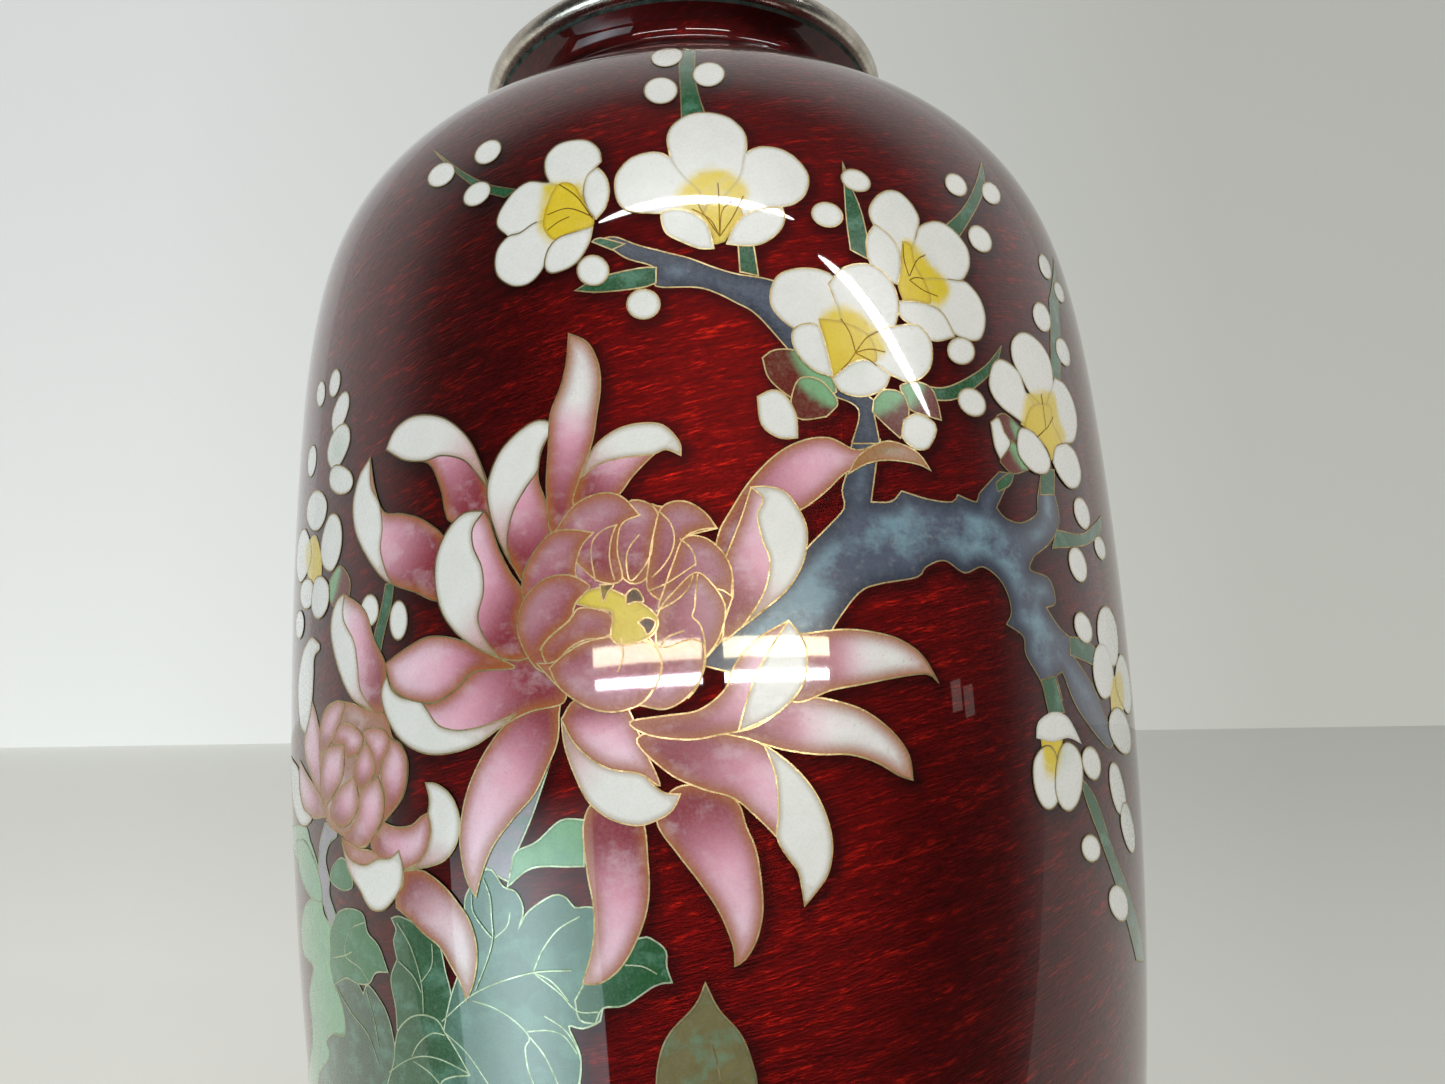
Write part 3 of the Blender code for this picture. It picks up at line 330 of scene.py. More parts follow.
SMALL_CHRYSANTHEMUM = [
    ("small_outer_pink", "petal", (-62.9, 128.9, -57.9, 117),
     "-61.9,130.3* -60.2,128.2 -59,125.9 -58.3,123.1 -58.4,120.3 -57.2,116.8* -62.2,120 -65.6,123.2 "
     "-65.2,126.3"),
    ("small_outer_white", "whitepart", None,
     "-62.2,138.8 -59.3,137.7* -59.1,136.9 -61.1,136 -61.4,133.4 -61.9,130.5 -63.4,127.7 -65,126* "
     "-68.1,127.3 -69.4,130.9 -69.2,133.9 -67,136.8 -64.7,138.2"),
    ("small_low_pink", "petal", (-67.6, 122, -57.6, 115.4),
     "-68.7,122.6* -63.1,120 -58.9,117.8 -57.3,115.3* -62.6,115 -66.8,116.2 -69,118.8"),
    ("small_low_white", "whitepart", None,
     "-79.1,123.2* -69.8,121.4 -69,118.8 -66.8,116.2 -62.6,115 -65.8,113.8 -69.9,114.1 -74.8,116.2 "
     "-78,119.5"),
    ("small_back", "smallbody", None,
     "-59.1,123.6 -58.9,126.7 -57.1,128.9 -53.8,129.8 -51.4,129.6 -49,129.2 -46.4,128.4 -43.2,128 "
     "-42,126.9 -41.2,124.8 -39.7,124 -38.6,122.2 -38.7,119.9 -39.7,117.7 -42,115.7 -43.3,114.9 "
     "-44.2,113.9 -47,112 -50,111.8 -52.6,113.1 -56.3,114.1 -57.3,115.3 -57.9,117 -58.8,120.3"),
    ("small_petal_a", "petal", (-53.2, 129.7, -57.9, 123.6),
     "-58.9,123.5 -58.6,127 -56.7,128.9 -53.5,129.8 -51.3,129.3* -52.6,127.3 -54.5,125.2 -57.2,123.6"),
    ("small_petal_b", "petal", (-49.9, 126.8, -51.6, 122.7),
     "-54.5,125.1* -52.9,126.7 -50.4,126.8 -47.8,125.8 -47.1,124.5 -48.7,123 -51.3,122.6* -51.7,124.2 "
     "-54.8,124.4"),
    ("small_petal_c", "petal", (-44.1, 126.1, -44.5, 120.5),
     "-47.1,125.8 -44.6,126.1 -42.5,125.6 -41.8,124.5 -42.1,123.3 -43.4,121.8 -44.1,120.5 -45,120.6 "
     "-45.3,122.8 -46.4,124.4"),
    ("small_petal_d", "petal", (-46.2, 124.2, -47.8, 118.7),
     "-49.3,120.2* -48.9,122.1 -47.4,123.7 -46.2,124.2 -45.1,122.8 -44.7,121.3 -45.7,119.7 -47.8,118.7"),
    ("small_petal_e", "petal", (-53.9, 124.3, -57.5, 116.5),
     "-57.5,116.5* -58.9,119.2 -58,122.2 -56.1,124 -51.8,124.3* -51.7,122.4 -52.2,120.3 -54.7,118.2"),
    ("small_petal_f", "petal", (-40.9, 124.5, -42.8, 115.4),
     "-41.7,124.7* -39.7,123.8 -38.7,122.2 -38.9,119.7 -40.1,117.4 -42.4,115.5 -43.3,115.2* "
     "-42.9,117.9 -43.5,120.2 -43,122.3 -42.1,123.5"),
    ("small_petal_g", "petal", (-49.3, 120.3, -54.3, 114.4),
     "-49.3,120.3* -48.5,118.5 -48.7,116.4 -50.9,114.6 -53.1,114.2 -55.8,115.2 -55.1,117.3 -52.3,119.2"),
    ("small_petal_h", "petal", (-44.1, 120.2, -51, 112.1),
     "-44.1,120.2* -43.1,118.2 -43.2,115.9 -44.4,114.1 -46.5,112.3 -49.5,111.8 -52.1,112.6 -50.3,114.3 "
     "-48.4,116.1 -48.2,117.9 -46.6,119.2"),
    ("small_crescent", "petal", (-37.2, 112.7, -45.1, 112.6),
     "-35.4,116* -35,114 -35.8,111.8 -37.3,110.4 -39.6,109.6* -41.9,110.2 -44.8,110.8 -45.8,112.6 "
     "-44.2,113.9 -43.1,114.9* -40.9,114.4 -38.2,114.6 -36.5,115.6"),
    ("small_crescent_white", "whitepart", (-35.2, 119.1, -38.2, 108.6),
     "-35.6,119.4* -34.1,119.3 -32.2,118.3 -31,116.6 -30.7,114.7 -31.3,112.5 -33,110.8 -35.6,110 "
     "-39.2,109.6* -37.3,110.4 -35.8,111.8 -35,114 -35.4,116* -35.1,117.6"),
    ("small_lower", "petal", (-45, 111.1, -52.3, 112.1),
     "-52.8,112.9* -50.9,110.5 -47.4,109.8 -44.1,110.7* -45.5,111.5 -48.4,111.7 -50.9,112.3"),
    ("small_lower_white", "whitepart", (-42.2, 106.2, -53.6, 114),
     "-40.5,111.7* -39.9,109.7 -40.4,107.5 -42,105.9 -44.1,104.7 -46.6,104.9 -48.5,106.7 -51.2,109.2 "
     "-52.8,112.9* -50.9,110.5 -47.4,109.8 -44.5,110.6 -42.1,110.8"),
    ("small_fallen", "petal", (-30.9, 95.6, -40.4, 107.5),
     "-39.8,109.4* -37.3,109.6 -35.6,109.2 -33.2,107.8 -31.3,106 -29.9,104.3 -29.1,102 -29.1,99.8 "
     "-29.8,97.4 -30.9,95.6* -31.5,97.3 -32.9,99.3 -34.4,101.2 -36.9,102.6 -39,104 -41.3,105.2* "
     "-41.2,106.6 -40,107.8"),
]
CHRYSANTHEMUM = [
    ("petal_far_left", "petal", (-54.6, 137.7, -42.4, 131.7),
     "-51.7,143.4* -53.6,142.8 -55,141 -55.2,138.3 -53.1,134 -49.7,130.1 -45.4,128.3 -42.8,128 "
     "-42.4,130.5 -42.4,133.7 -44.6,136.8 -46.8,140.8"),
    ("white_far_left", "whitepart", None,
     "-51.7,143.4* -53.6,142.8 -55,141 -55.2,138.3 -53.1,134 -49.7,130.1 -44.8,128.1* -47.6,130.9 "
     "-48.3,134.4 -49.2,137.2 -51.8,140.2"),
    ("petal_left_edge", "petal", (-49, 156.7, -33.1, 145.4),
     "-46.2,160.4* -48.6,158.4 -49.9,155 -49.2,151.4 -46.7,147.9 -43.3,144.6 -40.5,143.1 -37.3,142 "
     "-33.1,140.5 -32.5,144.1 -32.2,147.7 -35.6,150.5 -39.4,151.9 -42.9,152.7 -44.9,155.9"),
    ("white_left_edge", "whitepart", None,
     "-46.2,160.4* -48.6,158.4 -49.9,155 -49.2,151.4 -46.7,147.9 -43.3,144.6 -40.9,143.2* -42.3,145 "
     "-43.5,148.1 -43.2,150.7 -43.9,153.9 -45.8,156.6"),
    ("petal_hook_left", "petal", (-41.9, 163.3, -28.6, 150.2),
     "-42.8,160.8* -41.3,163 -38.4,164.1 -35.1,163.8 -31.9,162.5 -29,159.9 -27.2,156.7 -25.8,152.9 "
     "-25.5,149.3 -28.6,149.2 -31.4,149.8 -32.2,151.1 -33,154.2 -34.9,157.5 -38.3,158.5 -40.6,159.7"),
    ("white_hook_left", "whitepart", None,
     "-42.8,160.8* -41.3,163 -38.4,164.1 -35.1,163.8 -31.9,162.5 -29,159.9 -27.2,156.7 -25.9,152.9* "
     "-27.8,155.4 -29.7,157.2 -32.9,158.2 -35.7,158 -39.3,158.8"),
    ("petal_upper_left", "petal", (-20.4, 160, -18.7, 143.8),
     "-16.6,159.5* -19.1,160.5 -21.6,159.6 -24.1,157.6 -25.5,155.2 -26.1,152.6 -25.5,149.3 -24.2,146 "
     "-22.4,143 -21.1,141.3 -18.7,142.1 -17.3,145.4 -18.3,150.2 -19.3,153.3 -19.1,155.9 -18.1,158.2"),
    ("white_upper_left", "whitepart", None,
     "-16.6,159.5* -19.1,160.5 -21.6,159.6 -24.1,157.6 -25.5,155.2 -26.1,152.6 -25.5,149.3 -24.2,146 "
     "-22.8,143.5* -23.4,145.7 -23.2,148 -22.4,150.3 -20.8,152.7 -19.4,154.4 -19,156.5 -18.1,158.2"),
    ("petal_tall", "petal", (-13.5, 169.2, -16.8, 147.7),
     "-15.3,170.8* -13,169.4 -11.7,166.6 -11.5,163.6 -12,160.4 -12.7,156.8 -14.7,151.6 -15.3,146.8 "
     "-17.8,147 -18.3,152 -18,156.8 -17.7,161 -16.4,164.2 -15.6,167.3"),
    ("petal_hook_top", "petal", (-4.1, 157.9, -13.1, 150.3),
     "-2.4,154.7* -2.5,156.3 -4.3,158.4 -7.1,158.8 -9.9,158.2 -12.5,156.3 -14,153.3 -15,149.9 "
     "-11.3,149.6 -9.6,150.6 -7.9,152.7 -5.3,155.1 -4,155.5"),
    ("white_hook_top", "whitepart", None,
     "-2.4,154.7* -2.5,156.3 -4.3,158.4 -7.1,158.8 -9.9,158.2 -12.5,156.3 -14,153* -11.8,154.4 "
     "-8.8,154.9 -5.7,155 -4,155.5"),
    ("petal_low_fall", "petal", (-29.4, 113, -17.9, 126.6),
     "-28.8,106.8* -30.1,109 -30.7,113.2 -29.6,117.9 -27.3,122 -24,125.7 -21.2,127.6 -17.5,127.9 "
     "-17.4,126.3 -17.7,123.4 -19.1,120.5 -20.8,117.7 -23.3,115.4 -26.2,112.3 -27.8,109.4"),
    ("petal_low_middle", "petal", (-12.8, 99.2, -11.9, 113.7),
     "-16,97.8* -14.6,101.8 -14.3,105.6 -14.9,109.8 -15,114.7 -13.1,116.9 -8.7,115.2 -8,110.2 -8.2,106 "
     "-9.5,102.5 -11.5,99.5 -13.9,97.9"),
    ("petal_boat_inner", "petal", (-12.9, 121.2, -12.7, 127.1),
     "-17.1,125.8* -15.5,127.8 -12.6,127.7 -9.8,127 -8.3,123.7 -7.5,121.5 -6.3,118.2 -8.3,119.5 "
     "-11.7,120.2 -14,121.5 -15.8,123.3"),
    ("petal_fall_tip", "petal", (1.7, 100.7, -3.1, 116.5),
     "0.9,99.2* 0.8,101.3 -0.5,104.8 -2.5,108 -4.7,111 -6.8,114.5 -5,117.6 -1.9,118 1.8,116.3 "
     "2.9,113.3 3.8,110.8 4.2,106.9 4.1,104.2 3.3,101.6 2,99.8"),
    ("petal_right_low", "petal", (21, 121.1, 2.7, 123.6),
     "22.2,117.2* 21.9,119.9 20.1,122.5 16.9,125 13,126.4 9.6,126.9 5.1,126.8 0.6,124.3 1.6,122.6 "
     "4.9,122.1 7.4,121.3 11.2,120.6 14.7,120.4 17.8,119.4 20.5,117.8"),
    ("petal_fall_right", "petal", (11.1, 110.5, -5, 121.9),
     "8.8,104.9* 9.8,105.9 11.5,107.9 12.2,110.7 11.8,113.7 10.4,116.9 8.1,119.7 4.9,122.1 1.5,123.2 "
     "-3.8,124.2 -8.6,123.2 -5.3,119.5 -1.6,117.6 1.6,116.5 4,114.4 6.2,112 6.8,110.6 8.2,108.6 "
     "8.7,107.6"),
    ("white_fall_right", "whitepart", None,
     "8.8,104.9* 9.8,105.9 11.5,107.9 12.2,110.7 11.8,113.7 10.4,116.9 8.1,119.7 5.2,122* 6.3,118.7 "
     "6.4,114.7 6.1,112.3 6.8,110.6 8.2,108.6 8.6,106.5"),
    ("petal_right_mid", "petal", (23.7, 131, 9.8, 130.4),
     "26.4,127.8* 24.5,130.9 21.7,132.8 18.5,133.7 15.1,134.1 10.7,133.8 7.1,133.2 8.4,126.6 "
     "13.3,127.5 17.1,128 21.3,128.6 25,128.8"),
    ("petal_drop", "petal", (9.6, 133.1, -4.9, 124.6),
     "8.7,135.3* 10.1,133.4 10.6,131.4 10,128.4 7.9,126 4.4,123.9 0.7,123.3 -2.8,122.9 -7.2,123.6 "
     "-9.3,125.1 -5.3,125.6 -1.7,126 1.2,128 2.5,130.7 4.9,133.3"),
    ("white_drop", "whitepart", None,
     "8.7,135.3* 10.1,133.4 10.6,131.4 10,128.4 7.9,126 5.5,124.6 2.5,123.5* 3.6,126.8 4.9,129.8 "
     "6.8,132.7"),
    ("petal_right_top", "petal", (24.7, 155.3, 2.7, 144.1),
     "28,152.9* 26.2,153.6 22.3,153.9 19.5,153.4 16.5,152.1 14.1,150 11,147.9 7.4,146.8 3.7,142.3 "
     "1,142.4 1.5,145.5 2.9,147.9 5.3,151.3 8.4,154.3 11.6,156 15,156.4 18.4,155 21.7,156.1 24.1,156 "
     "26.5,154.9"),
    ("olive_tail", "olive", None,
     "28,152.9* 26.2,153.6 22.3,153.9 19.5,153.4 17,152.1* 18.5,154.3 21.7,156.1 24.1,156 26.5,154.9"),
    ("petal_right_white", "petal", (10.2, 145.6, 2.1, 137.9),
     "5.4,150.6* 7.4,150.6 9.4,149.8 11,147.3 11.5,145 10.8,141.8 8.9,138.9 6.2,136.7 3.5,134.8 "
     "1,133.5 0.4,138 2,142.4 4,146.9"),
    ("white_right", "whitepart", None,
     "5.4,150.6* 7.4,150.6 9.4,149.8 11,147.3 11.5,145 10.8,141.8 8.9,138.9 6.2,136.7 3.5,134.8* "
     "5.3,137.1 6.5,139.4 7,142.2 6.3,144.5 5.9,147.4 6.7,149.1"),
    ("petal_left_bowl", "petal", (-39.9, 126.2, -19.7, 130.3),
     "-42,132.2* -43,130.1 -42.1,127.4 -39.8,124.7 -36.7,123.1 -33,122.6 -28.3,123.4 -24.7,125.3 "
     "-21,126.8 -16.7,127.7 -17.2,130.7 -20.8,133.1 -25.1,133.1 -28.1,131.8 -30.5,130 -33.9,128.5 "
     "-38.1,129.1 -41.1,130.7"),
    ("white_left_bowl", "whitepart", None,
     "-42,132.2* -43,130.1 -42.1,127.4 -39.8,124.7 -36.7,123.1 -33,122.6 -28.3,123.4 -24.7,125.3 "
     "-22.6,126.7* -26.2,125.7 -30.1,125.2 -33.3,125.9 -35.1,127.8 -36.4,129 -39.1,129.4 -41.1,130.5"),
    ("petal_low_left", "petal", (-38.4, 134.5, -24.7, 132.4),
     "-42.2,133.7* -38,135.4 -34.4,136.3 -29.9,135.5 -25.1,133.2 -22.7,131.8 -28.1,131.7 -30.5,130 "
     "-33.9,128.6 -38.1,129.2 -40.9,130.8"),
    ("petal_left_crescent", "petal", (-32.3, 145.3, -22, 137.2),
     "-26.4,150.4* -29.3,150.5 -31.7,148.8 -33.4,145.8 -33.6,142.5 -32.7,139.2 -30.6,136.5 -27.6,134.4 "
     "-23.6,132.8 -20.8,133.1 -22,137.2 -21.3,140 -23.2,143.1 -24.7,146.2 -25.5,148.7"),
    ("white_left_crescent", "whitepart", None,
     "-26.4,150.4* -29.3,150.5 -31.7,148.8 -33.4,145.8 -33.6,142.5 -32.7,139.2 -30.6,136.5 -27.6,134.4 "
     "-24.7,133.2* -26.4,135.3 -27.4,137.9 -26.6,140.8 -26.8,143.7 -28,146.4 -28,148.6"),
    ("petal_boat", "whitepart", (-4.3, 117.2, -17.2, 126.9),
     "-17.1,125.8* -16.8,122.8 -15.6,119.3 -14.2,116.7 -11.9,114.9 -8.9,114.1 -6.5,114.7 -5,115.6 "
     "-4.1,117.2* -5.8,117.4 -7,118.3 -8.3,119.5 -11.7,120.2 -14,121.5 -15.8,123.3"),
    ("ring_upper_back", "petal", (-9.6, 150.3, -7.8, 136.2),
     "2.7,138.3* 2.7,141.1 1.7,143.4 -0.2,145 -2.4,145.2 1.3,146* -0.1,148 -2.3,149.3 -4.7,148.8 "
     "-6.1,149.2 -5.2,147.7* -8.1,149.8* -7.3,148* -9.3,150.3 -11.7,150.9 -14.7,149.9 -16.9,147.4 "
     "-19.9,144.4 -21.4,141.8 -19.5,137 -12.5,132.1 -3.5,131.5 0.8,133 1.6,135.5"),
    ("ring_petal_c", "petal", (-6.7, 148.9, -8.5, 140.7),
     "-5.8,145.6* -5.2,147.7 -6.1,149.2 -8.1,149.8 -9.4,148.6 -10.9,145.5 -9.3,140.8 -7,140.6 "
     "-6.1,143.4"),
    ("ring_petal_b", "petal", (-12.1, 150.2, -11, 141.5),
     "-7.3,148* -9.3,150.3 -11.7,150.9 -14.7,149.9 -16.9,147.4 -17.3,146 -15.1,143.5 -12.2,140.8 "
     "-9.6,140.8 -10,144.2 -9.4,147.1"),
    ("ring_petal_d", "petal", (-2.2, 148.7, -5.9, 139.4),
     "1.3,146* -0.1,148 -2.3,149.3 -4.7,148.8 -5.7,146.2 -6.4,142.9 -6.7,139.5 -4.5,138.2 -3.1,141.5 "
     "-2.5,144.9 -0.6,145.9"),
    ("ring_petal_e", "petal", (1, 143.6, -4.9, 137.4),
     "2.5,138.3* 2.7,141.1 1.7,143.4 -0.2,145 -2.4,145.1 -3.6,142.7 -4.9,139.4 -5.5,137.2 -3.3,136.5 "
     "-0.4,138 1.1,139.1"),
    ("ring_petal_f", "petal", (0.7, 136.8, -5.4, 134.7),
     "-0.5,131.8* 0.7,133.3 1.6,135.5 1.7,137.5 0.4,139.8 -1.3,141.1 -3.6,139.3 -5.7,136.7 -5.9,132.8 "
     "-4.4,130.5 -2.4,130.6"),
    ("ring_petal_a", "petal", (-18, 146.1, -14.6, 139.5),
     "-12.7,146.4* -15.5,147 -17.9,146.7 -20.2,144.4 -21.4,141.9 -21.2,139.4 -18.8,138.1 -15.2,138.9 "
     "-13.4,139.4 -14.9,141.8 -14.2,144.8"),
    ("ring_petal_g", "petal", (-20.7, 138.2, -15.7, 134.5),
     "-19.4,133.6* -18.2,135 -15.7,136.8 -15,138.5 -13.5,140 -13.5,140.6 -15.8,141.8 -18.6,141.6 "
     "-20.9,139.9 -22.1,137.3 -21.8,134.7 -19.9,131.6 -17.7,131 -16.6,132.3 -17.6,132.9"),
    ("ring_petal_h", "petal", (-14, 137.5, -12.4, 134.3),
     "-17.7,131.6* -16.1,133.4 -13.9,134.4 -11.1,134.5 -10.9,136.8 -12.6,137.7 -14.7,137.9 -15.7,136.7 "
     "-18.2,134.9 -19.2,133.6 -18.6,132"),
    ("bulb_cup", "petal", (-10.4, 126.2, -9.6, 133.5),
     "-19.8,132.1* -17.1,129.2 -14.2,127.1 -11.3,126.3 -8.4,126.8 -7.8,126.8 -5.3,126.3 -2.7,127.6 "
     "-0.9,130.3 -0.8,133 -2.3,133.7 -5.4,133 -7.8,134.4 -10.1,135 -12.4,134.3 -14.7,133.9 -17.6,132.2"),
    ("bulb_petal_left", "petal", (-12.7, 126.6, -9.5, 134.1),
     "-18.3,131.5* -17.1,129.2 -14.2,127.1 -11.3,126.3 -8.4,126.8 -6.6,128.3 -5.5,130.6 -5.9,132.8 "
     "-7.8,134 -11,134.5 -13.9,134.1 -16.5,132.9"),
    ("bulb_heart", "heart", None,
     "-15,138.5* -13.5,139.8 -11.4,140 -9.7,139.2 -7.4,138 -5.7,136.2 -6.4,134.4 -9.2,133.5 -11,134.3 "
     "-10.8,137.1 -12.6,137.7"),
]
LINES = [
    ("bulb_wire_1", "-9.9,147.1 -11.6,146.6 -12.8,145.4 -13,143.5 -12.6,140.8"),
    ("bulb_wire_2", "-10,147.1 -10.6,145.7 -10.9,144 -10.8,142.4 -10.4,140.8"),
    ("bulb_wire_3", "-7.4,145.8 -8.7,144.2 -9,142.4 -8.6,140.6 -7.2,141.8 -6.2,143.5 -5.9,145.3"),
    ("bulb_wire_4", "-5,148.2 -3.9,146.9 -3.5,145.2 -3.9,143.5 -4.9,142 -6.2,140.8"),
    ("bulb_wire_5", "-1.3,142 -3.1,140.9 -4.7,140 -6.7,139.3"),
    ("bulb_wire_6", "-1.6,140.8 -2.2,139.4 -3.6,138.1 -5.9,137"),
    ("bulb_wire_7", "-1.1,140.9 -1.4,139 -1.6,137.2 -1.9,136.2 -1.1,135.3 -0.7,133.6 -0.7,131.9"),
    ("bulb_wire_8", "-9.9,134.3 -9.7,132.4 -10.4,130.6"),
    ("bulb_wire_9", "-6.7,134.1 -5.8,132.6 -5.5,131.1 -6.1,129.1 -7.5,127.3"),
    ("bulb_wire_10", "-2.9,134.7 -4.7,134.1 -5.6,133.1"),
    ("bulb_wire_11", "-0.7,131.9 -1.1,130 -1.8,128.4 -2.8,127.3"),
    ("bulb_wire_12", "-2.9,145 -1.8,144 -1.3,142.8 -1.3,141.8"),
    ("drop_wire_1", "-12.1,140.4 -10.5,140.3 -11.2,139.5 -11.7,138.5 -12,139.4 -12.1,140.4"),
    ("drop_wire_2", "-9.2,137.9 -9.1,139.1 -8.3,139.7 -7.6,139.3 -7.2,138.2 -8.2,138.2 -9.2,137.9"),
    ("drop_wire_3", "-7.9,135.9 -7,136.4 -6,135.9 -6.3,135 -7,134.5 -7.3,135.2 -7.9,135.9"),
    ("vein_1", "-27.7,108.8 -26.9,106.8 -26.8,104.2 -26.8,102.3 -27.7,100 -29.5,96.8"),
    ("vein_2", "-29.4,107 -29.3,105.2 -27.8,103.3 -26.9,102.5"),
    ("vein_3", "-24.4,105.2 -24.9,103.7 -26.6,102.4"),
    ("vein_4", "-15.9,104.8 -18.6,103.4 -20.6,101.2 -21.8,99"),
    ("vein_5", "-34.7,93.1 -29.3,96.6 -22.4,98.8 -17.2,99.2"),
    ("vein_6", "-22,98.9 -20.2,98.3 -19,97.4 -17.8,96"),
    ("vein_7", "-11.1,99.7 -9.1,99.5 -7.6,98.7"),
    ("bud_wire", "-2,91.8 -1.6,89.8 -1.2,87.3"),
    ("vein_8", "-20.8,94.4 -18.5,93.1 -17.1,91.2 -16.7,89.5 -17,87.5"),
    ("vein_9", "-30.1,95.6 -27.2,95 -24.5,93.7 -22.8,92.1 -23.4,91 -23.2,88.8 -22.6,87.3"),
    ("vein_10", "-23,92.7 -20.5,92.9 -18.6,92.4 -17.1,90.6"),
    ("vein_11", "-22.7,92.1 -21,90.2 -19.6,87.4"),
    ("vein_12", "-34.3,91.8 -31.3,89.9 -28.6,86.9"),
    ("vein_13", "-21.6,98.7 -18.9,96.9 -16.8,95 -14.4,94.9"),
    ("vein_14", "-47.9,103.1 -51.7,101.8 -53.3,98.8 -49.7,97.6 -47.9,96.2"),
    ("vein_15", "-56.8,98 -53.3,98.7 -51.5,99.3"),
    ("vein_16", "-56.3,94.5 -52.5,92 -48.8,90 -46.8,86.9"),
    ("vein_17", "-48.5,95 -47.3,92.3 -46.5,88.8"),
    ("vein_18", "-41.4,103.5 -39.2,101 -37.7,97.2 -37.6,93.7"),
    ("vein_19", "-41.5,99.2 -39,97.7 -37.8,96"),
    ("vein_20", "-35.6,101.5 -35.8,99.1 -37.6,97.2"),
    ("vein_21", "-44.8,86.3 -41.5,88 -38.5,88.9 -35.5,88.9 -32.3,88.1 -31.2,87.7"),
    ("vein_22", "-40.2,88.7 -38.8,90.3 -36.5,91.6 -34.5,91.6"),
    ("vein_23", "-40,88.2 -37.4,87.3 -35.8,86.2"),
    ("stamen_a1", "-12.2,185.6 -14.3,189 -16.8,191.3"),
    ("stamen_a2", "-12.2,185.9 -15.4,187.6 -18.3,187.2"),
    ("stamen_a3", "-15.3,186.4 -16.8,185.9 -18.2,185"),
    ("stamen_b1", "3.5,181.9 1.5,185.4 1.1,186.5"),
    ("stamen_b2", "3.5,181.9 3.7,187.2 3.7,189.4"),
    ("stamen_b3", "3.5,181.9 5.3,184.6 6.8,187.5"),
    ("stamen_b4", "3.4,182.2 2.4,184.3 0.3,185.8"),
    ("stamen_b5", "3.5,182 4,185.4 5.4,186.8"),
    ("stamen_c1", "28.1,178.1 27.7,180.3 27.9,182.6"),
    ("stamen_c2", "28.2,178.2 29.7,180.6 31.2,181.6"),
    ("stamen_c3", "28.1,177.6 29.1,178.1 30.4,178.1"),
    ("stamen_c4", "28.1,177.6 30,176.5 32.3,176"),
    ("stamen_d1", "19.3,167.2 18.8,169.6 17.8,171.4"),
    ("stamen_d2", "19.3,167.2 20.9,169.1 22.6,170.1"),
    ("stamen_d3", "19.2,167.1 21.2,167.7 23.3,167.5"),
    ("stamen_d4", "17.2,164.8 18.4,166 19.3,167.2"),
    ("stamen_e1", "50.4,160.8 47.8,159.2"),
    ("stamen_e2", "50.4,160.8 50.5,165.7"),
    ("stamen_e3", "50.6,160.8 52.9,162.9"),
    ("stamen_d5", "19.2,167.1 21,166.3 21.9,165.6"),
]

# Outside of the wall from foot to mouth: (height, radius).
PROFILE = [
    (4, 43.5), (12, 46.9), (24, 52.0), (44, 58.8), (72, 64.1), (99, 66.9), (127, 68.3), (151, 68.4), (171, 67.8),
    (192, 65.8), (205, 62.1), (212, 58.0), (217, 53.6), (222, 47.8), (226.5, 42.0), (229.5, 37.6), (232, 34.2),
    (234.5, 32.4), (237, 33.1), (239.3, 35.6),
]


def natural_spline(xs, ys):
    """Second derivatives, at the points, of the smooth curve through them."""
    n = len(xs)
    matrix = np.eye(n)
    side = np.zeros(n)
    for i in range(1, n - 1):
        before = xs[i] - xs[i - 1]
        after = xs[i + 1] - xs[i]
        matrix[i, i - 1:i + 2] = (before, 2 * (before + after), after)
        side[i] = 6 * ((ys[i + 1] - ys[i]) / after - (ys[i] - ys[i - 1]) / before)
    return np.linalg.solve(matrix, side)


PROFILE_Z = np.array([p[0] for p in PROFILE], float)
PROFILE_R = np.array([p[1] for p in PROFILE], float)
PROFILE_BEND = natural_spline(PROFILE_Z, PROFILE_R)


def wall_radius(height):
    """Radius and slope of the wall at a height, in mm."""
    height = np.asarray(height, float)
    i = np.clip(np.searchsorted(PROFILE_Z, height) - 1, 0, len(PROFILE_Z) - 2)
    span = PROFILE_Z[i + 1] - PROFILE_Z[i]
    a = (PROFILE_Z[i + 1] - height) / span
    b = 1 - a
    m0 = PROFILE_BEND[i]
    m1 = PROFILE_BEND[i + 1]
    radius = a * PROFILE_R[i] + b * PROFILE_R[i + 1] + ((a ** 3 - a) * m0 + (b ** 3 - b) * m1) * span ** 2 / 6
    slope = (PROFILE_R[i + 1] - PROFILE_R[i]) / span
    slope = slope + ((3 * b ** 2 - 1) * m1 - (3 * a ** 2 - 1) * m0) * span / 6
    return radius, slope


def on_wall(points, lift):
    """Points of the picture (girth, height) laid on the wall and lifted off it, in metres."""
    points = np.asarray(points, float)
    angle = points[:, 0] / GIRTH_R
    radius, slope = wall_radius(points[:, 1])
    length = np.sqrt(1 + slope ** 2)
    radius = radius + lift / length
    height = points[:, 1] - lift * slope / length
    return np.stack([radius * np.sin(angle), -radius * np.cos(angle), height], axis=1) * MM


def linear(r, g, b):
    """The linear colour of screen values from 0 to 255."""
    made = []
    for value in (r, g, b):
        value /= 255.0
        made.append(value / 12.92 if value <= 0.04045 else ((value + 0.055) / 1.055) ** 2.4)
    return np.array(made)


# ---- Materials ------------------------------------------------------------------------------------------

EVEN = (1, 1, 1)          # a texture scale that stretches nothing


